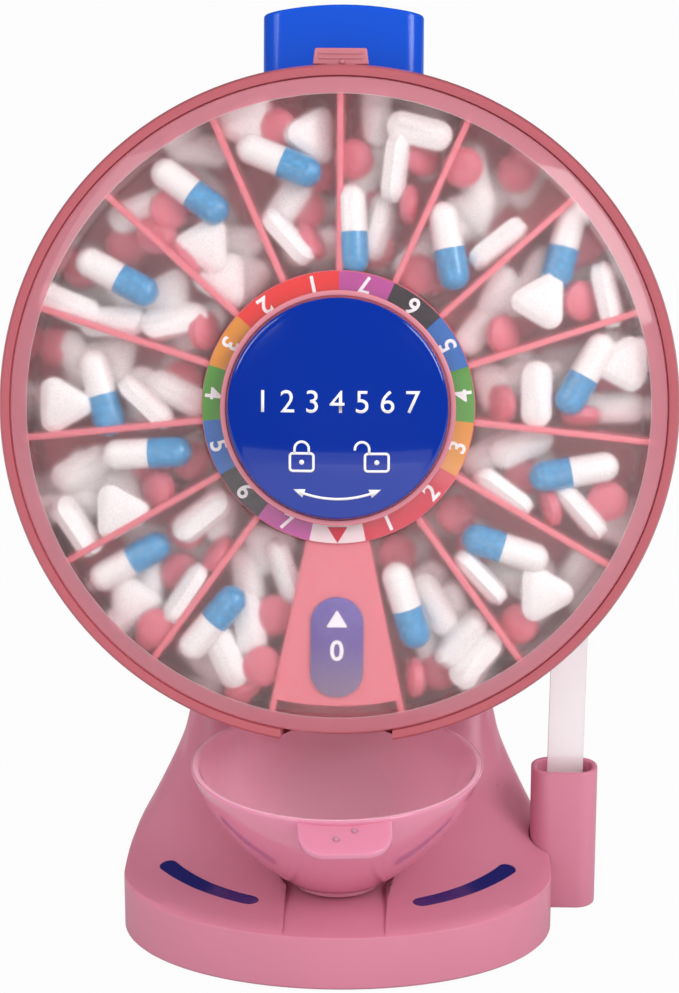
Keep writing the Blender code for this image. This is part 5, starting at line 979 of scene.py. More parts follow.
def bowl_outline(clearance=0):
    """(radius, height) points up the outside of the bowl's belly."""
    low = BASE_HEIGHT + GAP + BOWL_FOOT_HEIGHT
    shares = [i / BOWL_STEPS for i in range(BOWL_STEPS + 1)]
    return [(bowl_radius(s) + clearance, low + (BOWL_RIM_Z - low) * s) for s in shares]


def bowl_way(wall=0):
    """The room that the bowl needs at rest, and its way out to the front."""
    grow = BOWL_CLEARANCE + wall
    belly = bowl_outline(grow)
    foot = BASE_HEIGHT - wall
    half = [(BOWL_FOOT_RADIUS + grow, foot)] + belly + [(belly[-1][0], BOWL_RIM_Z + grow)]
    room = spun([(0, foot)] + half + [(0, BOWL_RIM_Z + grow)], MIDDLE_STEPS)
    room.transform(Matrix.Translation(BOWL_CENTRE))
    way = prism(half + [(-x, z) for x, z in reversed(half)], BOWL_CENTRE.y - BOWL_WAY, BOWL_CENTRE.y)
    way.transform(HEIGHT_ALONG_Y)
    return room, way


def channel():
    """The shallow channel that the bowl's foot slides out through."""
    half = BOWL_FOOT_RADIUS + BOWL_CLEARANCE
    return block((-half, BASE_Y - BASE_FRONT - BASE_EDGE, BASE_HEIGHT - CHANNEL_DEPTH),
                 (half, BOWL_CENTRE.y, BASE_HEIGHT + BOWL_CLEARANCE))


def inlay_prism(side, grow, low, high):
    """An upright arc-shaped prism over an inlay, with round ends."""
    half = INLAY_WIDTH / 2 + grow
    middle = (0, INLAY_CENTRE_Y + BASE_Y)
    start = DOWN + side * (math.pi / 2 - INLAY_START)
    end = DOWN + side * (math.pi / 2 - INLAY_END)
    outer = arc(INLAY_RADIUS + half, start, end, 30, middle)
    inner = arc(INLAY_RADIUS - half, end, start, 30, middle)
    turn = -side * math.pi
    far = (middle[0] + INLAY_RADIUS * math.cos(end), middle[1] + INLAY_RADIUS * math.sin(end))
    near = (middle[0] + INLAY_RADIUS * math.cos(start), middle[1] + INLAY_RADIUS * math.sin(start))
    outer += arc(half, end, end + turn, 10, far)[1:-1]
    inner += arc(half, start + math.pi, start + math.pi + turn, 10, near)[1:-1]
    return prism(outer + inner, low, high)


def neck_prism(inset, low_v, high_v):
    """The neck that the button slides on."""
    button_low, button_high, _ = wheel_extent("push_button")
    half = button_high.x - NECK_GAP - inset
    outline = rounded_rectangle(-half, half, button_low.z + NECK_GAP + inset,
                                button_high.z - NECK_GAP - inset, NECK_GAP - inset / 2)
    bm = prism(outline, low_v, high_v)
    bm.transform(WHEEL @ HEIGHT_ALONG_Y)
    return bm


def holder_prism(grow, low, high):
    low_corner, high_corner = HOLDER_BOX
    right = high_corner.x + grow
    left = high_corner.x - HOLDER_WIDTH - grow
    outline = rounded_rectangle(left, right, low_corner.y - grow, high_corner.y + grow,
                                HOLDER_CORNER + grow, 12)
    return prism(outline, low, high)


class DISPENSER_OT_stand(bpy.types.Operator):
    """Makes the stand's shell and its screwed rear cover"""

    bl_idname = "dispenser.stand"
    bl_label = "Stand"

    def execute(self, context):
        sizes = context.scene.dispenser_sizes
        finishes(context.scene.dispenser_colours, sizes)
        shell = stand_outer(sizes.stand_edge)
        shell = carved(shell, [neck_prism(0, REAR_COVER_TOP_V, NECK_TOP_V)], "UNION")
        cavity = carved(stand_cavity(), bowl_way(SHELL_WALL))
        neck_hole = neck_prism(NECK_WALL, SHOULDER_V - NECK_HOLE_BELOW_SHOULDER, NECK_HOLE_TOP_V)
        recess_foot = BASE_HEIGHT - INLAY_THICKNESS
        recesses = [inlay_prism(side, GAP / 2, recess_foot, RAMP_TOP) for side in (-1, 1)]
        floor = stand_outer()
        floor.transform(Matrix.Translation((0, 0, -INLAY_THICKNESS)))
        recesses = [carved(recess, [floor.copy()]) for recess in recesses]
        floor.free()
        shell = carved(shell, [cavity, neck_hole, rear_slab(), *bowl_way(), channel(), *recesses,
                               holder_prism(GAP, -0.002, HOLDER_BOX[1].z)])
        piece("stand_moulding", shell, "stand", ["pink_abs"], ["stand_shell"])
        cover = carved(stand_outer(), [rear_slab(GAP)], "INTERSECT")
        piece("stand_back", cover, "stand", ["pink_abs"], ["stand_rear_cover"])
        return {"FINISHED"}


class DISPENSER_OT_inlays(bpy.types.Operator):
    """Makes the two glossy arcs let into the base's top"""

    bl_idname = "dispenser.inlays"
    bl_label = "Inlays"

    def execute(self, context):
        for name, side in (("inlay_left", -1), ("inlay_right", 1)):
            floor = stand_outer()
            floor.transform(Matrix.Translation((0, 0, -INLAY_THICKNESS + GAP)))
            bar = carved(inlay_prism(side, 0, BASE_HEIGHT - INLAY_FOOT, RAMP_TOP), [floor])
            top = stand_outer()
            top.transform(Matrix.Translation((0, 0, -INLAY_SUNK)))
            bar = carved(bar, [top], "INTERSECT")
            piece(name + "_gloss", bar, "stand", ["inlay_gloss_acrylic"], [name])
        return {"FINISHED"}


class DISPENSER_OT_drum(bpy.types.Operator):
    """Makes the coral drum with its outlet, and the catch on top of its rim"""

    bl_idname = "dispenser.drum"
    bl_label = "Drum"

    def execute(self, context):
        back = -DRUM_DEPTH
        heel = arc(DRUM_HEEL, 0, -math.pi / 2, 8, (DRUM_RADIUS - DRUM_HEEL, back + DRUM_HEEL))
        swell = [(DRUM_RIM_RADIUS + (DRUM_RADIUS - DRUM_RIM_RADIUS) * math.sin(a),
                  -DRUM_SWELL_DEPTH * (1 - math.cos(a))) for a in QUARTER_TURN]
        profile = [(COVER_SEAT_RADIUS, -COVER_SEAT_DEPTH), (COVER_SEAT_RADIUS, 0), *swell, *heel,
                   (SLEEVE_HOLE, back), (SLEEVE_HOLE, back + DRUM_FLOOR), (DRUM_BORE, back + DRUM_FLOOR),
                   (DRUM_BORE, -COVER_SEAT_DEPTH)]
        drum = spun(profile)
        half = OUTLET_WIDTH / 2
        leg = wheel_extent("rim_catch")
        slot = block((-CATCH_SLOT_HALF, VANE_RADIUS, leg[0].z - GAP),
                     (CATCH_SLOT_HALF, PAST_DRUM, leg[1].z + GAP))
        outlet = block((-half, -PAST_DRUM, -OUTLET_DEPTH), (half, OUTLET_TOP_V, 0.002))
        drum = carved(drum, [outlet, slot])
        round_edges(drum, context.scene.dispenser_sizes.rim_edge, 2, math.radians(60),
                    lambda e: all(math.hypot(v.co.x, v.co.y) > COVER_SEAT_RADIUS - WELD for v in e.verts))
        piece("drum_moulding", drum, "stand", ["coral_abs"], ["drum_housing"], WHEEL)
        self.catch(leg)
        return {"FINISHED"}

    def catch(self, extent):
        """A ridged tab that widens towards the rim, on a leg in the drum's slot."""
        low, high, _ = extent
        rim = DRUM_RIM_RADIUS + CATCH_ABOVE_RIM
        top = high.y
        left = [(-CATCH_TOP_HALF, top), (-CATCH_RIM_HALF, rim), (-CATCH_LEG_HALF, rim),
                (-CATCH_LEG_HALF, low.y)]
        outline = left + [(-x, v) for x, v in reversed(left)]
        tab = prism(outline, low.z, high.z)
        round_edges(tab, CATCH_EDGE, 3, math.radians(30))
        parts = [(tab, 0)]
        for i in range(2):
            v = rim + (top - rim) * (0.35 + 0.3 * i)
            ridge = block((-CATCH_RIDGE_HALF, v, high.z - CATCH_RIDGE_SINK),
                          (CATCH_RIDGE_HALF, v + CATCH_RIDGE_WIDTH, high.z + CATCH_RIDGE_RISE))
            parts.append((ridge, 0))
        bump = bmesh.new()
        bmesh.ops.create_uvsphere(bump, u_segments=12, v_segments=8, radius=CATCH_BUMP_RADIUS,
                                  matrix=Matrix.Translation((0.0003, rim + 0.0006, high.z)))
        piece("rim_catch_tab", merged(*parts, (bump, 0)), "stand", ["catch_abs"], ["rim_catch"], WHEEL)


class DISPENSER_OT_carousel(bpy.types.Operator):
    """Makes the carousel's tray with its vanes and blind start sector"""

    bl_idname = "dispenser.carousel"
    bl_label = "Carousel"

    def execute(self, context):
        top = TRAY_BACK_W + TRAY_FLOOR
        inner = HUB_RADIUS - HUB_WALL
        recess_back = HUB_RECESS_W - HUB_WALL
        profile = [(TUBE_BORE, TUBE_END_W), (TUBE_RADIUS, TUBE_END_W), (TUBE_RADIUS, recess_back),
                   (HUB_RECESS_RADIUS + HUB_WALL, recess_back),
                   (HUB_RECESS_RADIUS + HUB_WALL, HUB_FACE_W - HUB_WALL), (inner, HUB_FACE_W - HUB_WALL),
                   (inner, TRAY_BACK_W), (VANE_RADIUS, TRAY_BACK_W), (VANE_RADIUS, top), (HUB_RADIUS, top),
                   (HUB_RADIUS, HUB_FACE_W), (HUB_RECESS_RADIUS, HUB_FACE_W),
                   (HUB_RECESS_RADIUS, HUB_RECESS_W), (TUBE_BORE, HUB_RECESS_W)]
        tray = spun(profile)
        vanes = []
        for i in range(SECTOR_COUNT):
            vane = block((HUB_RADIUS - HUB_WALL / 2, -VANE_THICKNESS / 2, top - TRAY_FLOOR / 2),
                         (VANE_RADIUS, VANE_THICKNESS / 2, VANE_TOP_W))
            round_edges(vane, VANE_EDGE, 2,
                        chosen=lambda e: all(v.co.z > VANE_TOP_W - WELD for v in e.verts))
            vane.transform(Matrix.Rotation(DOWN + SECTOR * (i + 0.5), 4, "Z"))
            vanes.append(vane)
        front = VANE_TOP_W + BLIND_PROUD
        sides = DOWN - SECTOR / 2, DOWN + SECTOR / 2
        cap = arc(BLIND_END_RADIUS, *sides, 24) + arc(inner, sides[1], sides[0], 24)
        end = arc(BLIND_END_RADIUS, *sides, 24)
        end += arc(BLIND_END_RADIUS - VANE_THICKNESS, sides[1], sides[0], 24)
        vanes.append(prism(cap, front - VANE_THICKNESS, front))
        vanes.append(prism(end, top - TRAY_FLOOR / 2, front - VANE_THICKNESS / 2))
        tray = carved(tray, vanes, "UNION")
        piece("carousel_tray", tray, "carousel", ["tray_polypropylene"], ["vane_wheel"], WHEEL)
        return {"FINISHED"}


class DISPENSER_OT_labels(bpy.types.Operator):
    """Makes the ring of coloured labels with plain numbers, and the start badge"""

    bl_idname = "dispenser.labels"
    bl_label = "Labels"

    def execute(self, context):
        sizes = context.scene.dispenser_sizes
        self.ring(sizes)
        self.badge()
        return {"FINISHED"}

    def ring(self, sizes):
        _, high, radius = wheel_extent("label_ring")
        inner = LABEL_INNER_RADIUS
        inks = list(LABEL_INKS)
        ring = flat_ring("label_ring", inner, 360)
        for face in ring.faces:
            middle = face.calc_center_median()
            turn = (math.atan2(middle.y, middle.x) - DOWN + SECTOR / 2) % (2 * math.pi)
            face.material_index = inks.index(LABELS[int(turn // SECTOR)])
        ink = len(inks)
        parts = []
        middle = Matrix.Translation((0, -(inner + radius) / 2, high.z))
        for i in range(1, SECTOR_COUNT):
            numeral = words(str((i - 1) % RUN_LENGTH + 1), sizes.numeral_height, PRINT_THICKNESS)
            numeral.transform(Matrix.Rotation(SECTOR * i, 4, "Z") @ middle)
            parts.append((numeral, ink))
        mark = prism([(-MARK_HALF_WIDTH, -MARK_BASE_RADIUS), (MARK_HALF_WIDTH, -MARK_BASE_RADIUS),
                      (0.0, -MARK_TIP_RADIUS)], high.z, high.z + SIGN_THICKNESS)
        whole = merged((ring, None), *parts, (mark, ink + 1))
        names = [f"{ink_name}_label_print" for ink_name in inks]
        names += ["white_screen_ink", "scarlet_screen_ink"]
        piece("label_band", whole, "carousel", names, ["label_ring"], WHEEL)

    def badge(self):
        low, high, _ = wheel_extent("start_label")
        half = (high.x - low.x) / 2
        plate = prism(rounded_rectangle(-half, half, low.y, high.y, half - 0.0001, 16), low.z, high.z)
        round_edges(plate, SIGN_THICKNESS, 2)
        top = high.y - BADGE_ARROW_INSET
        foot = top - BADGE_ARROW_HEIGHT
        arrow = prism([(-BADGE_ARROW_HALF, foot), (BADGE_ARROW_HALF, foot), (0.0, top)],
                      high.z, high.z + SIGN_THICKNESS)
        round_edges(arrow, 0.0004, 3, chosen=lambda e: abs(e.verts[0].co.z - e.verts[1].co.z) > WELD)
        zero = words("0", BADGE_ZERO_HEIGHT, PRINT_THICKNESS)
        zero.transform(Matrix.Translation((0, (high.y + low.y) / 2 - BADGE_ZERO_DROP, high.z)))
        piece("start_badge", merged((plate, 0), (arrow, 1), (zero, 1)), "carousel",
              ["violet_badge_print", "white_screen_ink"], ["start_label"], WHEEL)


def capsule_pill():
    """A two-part capsule along X: the white body, and the wider blue cap at its low end."""
    radius, half = CAPSULE_WIDTH / 2, CAPSULE_LENGTH / 2
    body_radius = radius * 0.965
    split = -half * 0.06
    body = [(half - body_radius + body_radius * math.sin(a), body_radius * math.cos(a))
            for a in QUARTER_TURN]
    cap = [(-half + radius - radius * math.sin(a), radius * math.cos(a))
           for a in QUARTER_TURN]
    parts = []
    for index, outline in ((0, [(split, body_radius)] + body), (1, [(split, radius)] + cap)):
        bm = spun([(0, outline[0][0])] + [(max(r, 0), x) for x, r in outline], 28, closed=False)
        parts.append((bm, index))
    whole = merged(*parts)
    whole.transform(Matrix.Rotation(math.pi / 2, 4, "Y"))
    return whole


def rounded_pill(outline, thickness, crown):
    """A pressed tablet: an upright edge between two crowned faces."""
    half = thickness / 2 - crown
    bm = prism(outline, -half, half)
    caps = [f for f in bm.faces if abs(f.normal.z) > 0.9]
    for _ in range(3):
        bmesh.ops.inset_region(bm, faces=caps, thickness=crown * 0.55, depth=0)
        for face in caps:
            sign = 1 if face.normal.z > 0 else -1
            for vert in face.verts:
                vert.co.z += sign * crown / 3
    return bm


def pill_shape(kind):
    if kind == "capsule":
        return capsule_pill()
    if kind == "oval":
        outline = rounded_rectangle(-OVAL_HALF_LENGTH, OVAL_HALF_LENGTH, -OVAL_HALF_WIDTH,
                                    OVAL_HALF_WIDTH, OVAL_CORNER, 6)
    elif kind == "disc":
        outline = arc(DISC_RADIUS, 0, 2 * math.pi, 28)[:-1]
    else:
        outline = []
        for corner in [DOWN + math.pi + 2 * math.pi * i / 3 for i in range(3)]:
            centre = (TRIANGLE_REACH * math.cos(corner), TRIANGLE_REACH * math.sin(corner))
            outline += arc(TRIANGLE_CORNER, corner - math.pi / 3, corner + math.pi / 3, 6, centre)
    return rounded_pill(outline, TABLET_THICKNESS[kind], TABLET_CROWN[kind])


def pill_place(degrees, radius, turn, depth, tip=0.0, roll=0.0):
    """Where a pill lies: its long axis along the radius, turned and tipped, at a depth."""
    return (
        Matrix.Rotation(math.radians(degrees), 4, "Z")
        @ Matrix.Translation((0, -radius, -depth))
        @ Matrix.Rotation(math.radians(turn) + DOWN, 4, "Z")
        @ Matrix.Rotation(tip, 4, "Y")
        @ Matrix.Rotation(roll, 4, "X")
    )


class DISPENSER_OT_pills(bpy.types.Operator):
    """Fills the compartments with capsules, white tablets and pink ones"""

    bl_idname = "dispenser.pills"
    bl_label = "Pills"

    def execute(self, context):
        chance = random.Random(DEEP_SEED)
        placed = {"capsule": [], "oval": [], "disc": [], "triangle": []}
        for kind, degrees, radius, turn, depth, roll in PILLS:
            tip = chance.uniform(-0.06, 0.06)
            place = pill_place(degrees, radius / 1000, turn, depth / 1000, tip, math.radians(roll))
            placed[kind].append(place)
        for sector in range(1, SECTOR_COUNT):
            for row, radius in enumerate(DEEP_RADII):
                for layer, depth in enumerate(DEEP_LAYERS):
                    reach = math.degrees(SECTOR) / 2 - math.degrees(DEEP_CLEARANCE / radius)
                    degrees = math.degrees(SECTOR) * sector + chance.uniform(-reach, reach)
                    kind = DEEP_KINDS[(sector * 3 + row * 2 + layer) % len(DEEP_KINDS)]
                    turn = chance.uniform(0, 180)
                    tip = chance.uniform(-DEEP_TIP, DEEP_TIP)
                    roll = chance.uniform(-DEEP_TIP, DEEP_TIP)
                    placed[kind].append(pill_place(degrees, radius, turn, depth, tip, roll))
        finish = {"capsule": ["white_gelatin", "blue_gelatin"], "oval": ["white_tablet_coat"],
                  "disc": ["pink_tablet_coat"], "triangle": ["white_tablet_coat"]}
        for kind, places in placed.items():
            shape = bpy.data.meshes.new(kind)
            made = pill_shape(kind)
            made.to_mesh(shape)
            made.free()
            whole = bmesh.new()
            for place in places:
                shape.transform(place)
                whole.from_mesh(shape)
                shape.transform(place.inverted())
            bpy.data.meshes.remove(shape)
            piece(f"{kind}_pills", whole, "carousel", finish[kind], place=WHEEL)
        return {"FINISHED"}


class DISPENSER_OT_cover(bpy.types.Operator):
    """Makes the clear cover and the pale ring around the knob"""

    bl_idname = "dispenser.cover"
    bl_label = "Cover"

    def execute(self, context):
        sizes = context.scene.dispenser_sizes
        inner = COVER_RADIUS - COVER_WALL
        low = COVER_EDGE_W - COVER_SKIRT
        profile = [(inner, low), (COVER_RADIUS, low), (COVER_RADIUS, COVER_EDGE_W),
                   (COVER_FACE_RADIUS, COVER_FACE_W), (COVER_BORE, COVER_FACE_W),
                   (COVER_BORE, COVER_FACE_W - COVER_WALL),
                   (COVER_FACE_RADIUS - COVER_WALL / 3, COVER_FACE_W - COVER_WALL),
                   (inner, COVER_EDGE_W - COVER_WALL / 2)]
        cover = spun(profile)
        round_edges(cover, sizes.cover_edge, 4, math.radians(20))
        piece("cover_lens", cover, "cover", ["etched_polycarbonate"], ["front_cover"], WHEEL)
        ring = flat_ring("knob_trim_ring", TRIM_INNER_RADIUS, MIDDLE_STEPS)
        round_edges(ring, TRIM_EDGE, 3)
        piece("knob_ring", ring, "cover", ["pale_ring_abs"], ["knob_trim_ring"], WHEEL)
        return {"FINISHED"}


def knob_height(radius):
    """Height of the knob's dome at a radius."""
    rim = KNOB_RADIUS - KNOB_EDGE
    return KNOB_TOP_W - KNOB_DOME * min(radius / rim, 1) ** 2


def on_dome(bm, lift):
    """Lays flat print on the knob's dome."""
    for vert in bm.verts:
        vert.co.z += knob_height(math.hypot(vert.co.x, vert.co.y)) + lift
    return bm


def stroke(points, width, closed=False):
    """A flat line of a width through points, as a thin raised print."""
    count = len(points)
    left, right = [], []
    for i, point in enumerate(points):
        before = points[i - 1] if i or closed else points[i]
        after = points[(i + 1) % count] if i < count - 1 or closed else points[i]
        along = (Vector(after) - Vector(before)).normalized()
        side = Vector((-along.y, along.x)) * width / 2
        left.append(Vector(point) + side)
        right.append(Vector(point) - side)
    bm = bmesh.new()
    a = [bm.verts.new((p.x, p.y, 0)) for p in left]
    b = [bm.verts.new((p.x, p.y, 0)) for p in right]
    for i in range(count if closed else count - 1):
        j = (i + 1) % count
        bm.faces.new((a[i], b[i], b[j], a[j]))
    return bm


class DISPENSER_OT_knob(bpy.types.Operator):
    """Makes the lock knob, with its padlock signs, arrow and a row of plain numbers"""

    bl_idname = "dispenser.knob"
    bl_label = "Lock knob"

    def execute(self, context):
        rim = KNOB_RADIUS - KNOB_EDGE
        side_top = KNOB_TOP_W - KNOB_DOME
        edge = arc(KNOB_EDGE, 0, math.pi / 2, 5, (rim, side_top - KNOB_EDGE))
        dome = [(rim * (1 - i / 24), knob_height(rim * (1 - i / 24))) for i in range(25)]
        inner = KNOB_RADIUS - KNOB_WALL
        under = [(inner * i / 12, knob_height(inner * i / 12) - KNOB_WALL) for i in range(12)]
        profile = [(inner, KNOB_SKIRT_W), (KNOB_RADIUS, KNOB_SKIRT_W), *edge, *dome[1:], *under,
                   (inner, side_top - KNOB_WALL)]
        knob = spun(profile, MIDDLE_STEPS * 2)
        piece("knob_cap", knob, "knob", ["knob_doming_resin"], ["lock_knob"], WHEEL)
        ink = self.signs()
        obj = piece("knob_signs", ink, "knob", ["white_screen_ink"], place=WHEEL)
        thick = obj.modifiers.new("thickness", "SOLIDIFY")
        thick.thickness = 0.00006
        thick.offset = 1
        return {"FINISHED"}

    def signs(self):
        parts = [self.padlock(-0.0084, True), self.padlock(0.0094, False)]
        line = arc(KNOB_LINE_RADIUS, DOWN - 0.36, DOWN + 0.36, 24, KNOB_LINE_CENTRE)
        parts.append((stroke(line, KNOB_LINE_WIDTH), 0))
        for side in (-1, 1):
            tip = arc(KNOB_LINE_RADIUS, DOWN + side * 0.43, DOWN + side * 0.32, 1, KNOB_LINE_CENTRE)
            parts.append((self.arrow_head(*tip), 0))
        numbers = words("1 2 3 4 5 6 7", KNOB_NUMBER_HEIGHT, 0, 0)
        numbers.transform(Matrix.Translation((0, KNOB_NUMBER_V, 0)))
        parts.append((numbers, 0))
        whole = merged(*parts)
        bmesh.ops.remove_doubles(whole, verts=whole.verts, dist=WELD)
        return on_dome(whole, 0.00004)

    def arrow_head(self, tip, root):
        tip, root = Vector(tip), Vector(root)
        along = (tip - root).normalized()
        side = Vector((-along.y, along.x)) * 0.0011
        bm = bmesh.new()
        bm.faces.new([bm.verts.new((p.x, p.y, 0)) for p in (tip, root + side, root - side)])
        return bm

    def padlock(self, x, shut):
        """A padlock sign: a rounded body, a keyhole dot, and a shackle that is shut or swung open."""
        y = LOCK_V
        outline = rounded_rectangle(x - LOCK_HALF_WIDTH, x + LOCK_HALF_WIDTH, y - LOCK_HALF_HEIGHT,
                                    y + LOCK_HALF_HEIGHT, LOCK_CORNER, 5)
        body = stroke(outline, KNOB_LINE_WIDTH, True)
        dot = bmesh.new()
        bmesh.ops.create_circle(dot, cap_ends=True, segments=16, radius=KNOB_LINE_WIDTH,
                                matrix=Matrix.Translation((x, y, 0)))
        centre = x if shut else x - SHACKLE_SWING
        bow = [(centre + SHACKLE_RADIUS, y + LOCK_HALF_HEIGHT)]
        bow += arc(SHACKLE_RADIUS, 0, math.pi, 10, (centre, y + SHACKLE_V))
        bow += [(centre - SHACKLE_RADIUS, y + (LOCK_HALF_HEIGHT if shut else 0.0029))]
        return (merged((body, 0), (dot, 0), (stroke(bow, KNOB_LINE_WIDTH), 0)), 0)


class DISPENSER_OT_button(bpy.types.Operator):
    """Makes the blue push button with its two small nubs"""

    bl_idname = "dispenser.button"
    bl_label = "Button"

    def execute(self, context):
        sizes = context.scene.dispenser_sizes
        low, high, _ = wheel_extent("push_button")
        half, front, rear = high.x, high.z, low.z
        top = high.y - NUB_RISE
        corner = sizes.button_corner
        outline = rounded_rectangle(-half, half, rear, front, corner, 12)
        cap = prism(outline, low.y, top)
        cap.transform(HEIGHT_ALONG_Y)
        bmesh.ops.recalc_face_normals(cap, faces=cap.faces)
        round_edges(cap, sizes.button_round, 6, math.radians(60),
                    lambda e: all(v.co.y > top - WELD for v in e.verts))
        for i in range(1, 12):
            bmesh.ops.bisect_plane(cap, geom=cap.verts[:] + cap.edges[:] + cap.faces[:],
                                   plane_co=(half * (i / 6 - 1), 0, 0), plane_no=(1, 0, 0))
        self.crown(cap, half, top)
        hollow = rounded_rectangle(-half + BUTTON_WALL, half - BUTTON_WALL, rear + BUTTON_WALL,
                                   front - BUTTON_WALL, BUTTON_INNER_CORNER, 8)
        inside = prism(hollow, low.y - 0.001, top - BUTTON_ROOF)
        inside.transform(HEIGHT_ALONG_Y)
        cap = carved(cap, [inside])
        middle = (front + rear) / 2
        parts = [(cap, 0)]
        for side in (-1, 1):
            nub = spun([(0, -NUB_SINK), (NUB_RADIUS, -NUB_SINK), (NUB_RADIUS, NUB_RISE), (0, NUB_RISE)],
                       24)
            round_edges(nub, 0.0003, 3, math.radians(60))
            place = Matrix.Translation((side * NUB_HALF_SPACING, top, middle))
            nub.transform(place @ Matrix.Rotation(DOWN, 4, "X"))
            parts.append((nub, 0))
        piece("button_cap", merged(*parts), "button", ["blue_gloss_abs"], ["push_button"], WHEEL)
        return {"FINISHED"}

    def crown(self, bm, half, top):
        """Lowers the top towards the sides, so that it is crowned."""
        for vert in bm.verts:
            if vert.co.y > top - BUTTON_CROWN_DEPTH:
                vert.co.y -= BUTTON_CROWN * (vert.co.x / half) ** 2


class DISPENSER_OT_bowl(bpy.types.Operator):
    """Makes the pull-out bowl with its lip and two raised dots"""

    bl_idname = "dispenser.bowl"
    bl_label = "Bowl"

    def execute(self, context):
        foot = BASE_HEIGHT + GAP
        outer = bowl_outline()
        floor = foot + BOWL_FLOOR
        inner = [(r - BOWL_WALL, z) for r, z in reversed(outer) if z > floor + BOWL_FLOOR]
        profile = [(0, foot), (BOWL_FOOT_RADIUS, foot), (BOWL_FOOT_RADIUS, foot + BOWL_FOOT_HEIGHT / 2),
                   *outer, *inner, (BOWL_FOOT_RADIUS - BOWL_WALL, floor), (0, floor)]
        bowl = spun(profile, MIDDLE_STEPS * 2)
        rim = BOWL_RIM_Z - WELD
        round_edges(bowl, context.scene.dispenser_sizes.rim_edge, 4, math.radians(40),
                    lambda e: all(v.co.z > rim for v in e.verts))
        bowl = carved(bowl, [self.lip()], "UNION")
        parts = [(bowl, 0)]
        for side in (-1, 1):
            dot = bmesh.new()
            y = -BOWL_RIM_RADIUS - TAB_LENGTH + DOT_INSET + side * DOT_STEP / 2
            place = self.tilt() @ Matrix.Translation((side * DOT_SPACING / 2, y, 0))
            bmesh.ops.create_uvsphere(dot, u_segments=16, v_segments=10, radius=DOT_RADIUS,
                                      matrix=place @ Matrix.Diagonal((1, 1, 0.6, 1)))
            parts.append((dot, 0))
        whole = merged(*parts)
        # Faces on the bowl's inside take the lighter copy of its pink, which is painted light
        for face in whole.faces:
            middle = face.calc_center_median()
            inward = face.normal.x * middle.x + face.normal.y * middle.y < 0
            if middle.xy.length < BOWL_RIM_RADIUS - BOWL_WALL / 2 and (inward or face.normal.z > 0.7):
                face.material_index = 1
        piece("bowl_moulding", whole, "bowl", ["bowl_styrene", "bowl_styrene_painted_light_inside"], ["pill_bowl"],
              Matrix.Translation(BOWL_CENTRE))
        return {"FINISHED"}

    def tilt(self):
        root = BOWL_RIM_RADIUS - BOWL_WALL / 2
        return (
            Matrix.Rotation(BOWL_TURN, 4, "Z")
            @ Matrix.Translation((0, -root, BOWL_RIM_Z - TAB_BELOW_RIM))
            @ Matrix.Rotation(TAB_SLOPE, 4, "X")
            @ Matrix.Translation((0, root, 0))
        )

    def lip(self):
        root = BOWL_RIM_RADIUS - BOWL_WALL / 2
        half = TAB_HALF_WIDTH
        reach = BOWL_RIM_RADIUS + TAB_LENGTH
        lean = math.asin(half / root)
        outline = arc(root, DOWN + lean, DOWN - lean, 16)
        outline += arc(TAB_CORNER, math.pi, 3 * math.pi / 2, 10, (-half + TAB_CORNER, -reach + TAB_CORNER))
        outline += arc(TAB_CORNER, -math.pi / 2, 0, 10, (half - TAB_CORNER, -reach + TAB_CORNER))
        lip = prism(outline, -TAB_THICKNESS, 0)
        round_edges(lip, 0.0006, 3, chosen=lambda e: all(v.co.y < -root - 0.001 for v in e.verts))
        lip.transform(self.tilt())
        return lip


class DISPENSER_OT_holder(bpy.types.Operator):
    """Makes the side holder and the flat stick that stands in it"""

    bl_idname = "dispenser.holder"
    bl_label = "Holder and stick"

    def execute(self, context):
        low, high = HOLDER_BOX
        cup = holder_prism(0, low.z, high.z)
        left = high.x - HOLDER_WIDTH
        middle = (low.y + high.y) / 2
        tongue = block((low.x, middle - TONGUE_HALF_WIDTH, TONGUE_LOW_Z),
                       (left + TONGUE_OVERLAP, middle + TONGUE_HALF_WIDTH, TONGUE_TOP_Z))
        cup = carved(cup, [tongue], "UNION")
        cup = carved(cup, [holder_prism(-HOLDER_WALL, low.z + HOLDER_FLOOR, high.z + HOLDER_FLOOR)])
        round_edges(cup, 0.0005, 3, math.radians(60), lambda e: all(v.co.z > high.z - WELD for v in e.verts)
                    or all(v.co.z < low.z + WELD for v in e.verts))
        piece("holder_cup", cup, "stand", ["pink_abs"], ["tool_holder"])
        self.stick()
        return {"FINISHED"}

    def stick(self):
        axis = Vector(JOINTS["stick_lift"]["axis"]).normalized()
        points = [v.co for v in frame["nodes"]["pill_stick"].data.vertices]
        middle = sum(points, Vector()) / len(points)
        heights = [(p - middle).dot(axis) for p in points]
        low, high = min(heights), max(heights)
        across = Vector((1, 0, 0))
        across = (across - axis * across.dot(axis)).normalized()
        through = axis.cross(across)
        place = Matrix((across, axis, through)).transposed().to_4x4()
        place.translation = middle
        half = max((p - middle).dot(across) for p in points)
        blade = prism(rounded_rectangle(-half, half, low, high, STICK_CORNER, 8),
                      -STICK_HALF_THICKNESS, STICK_HALF_THICKNESS)
        round_edges(blade, STICK_EDGE, 2, math.radians(60))
        piece("stick_blade", blade, "stick", ["stick_polypropylene"], ["pill_stick"], place)


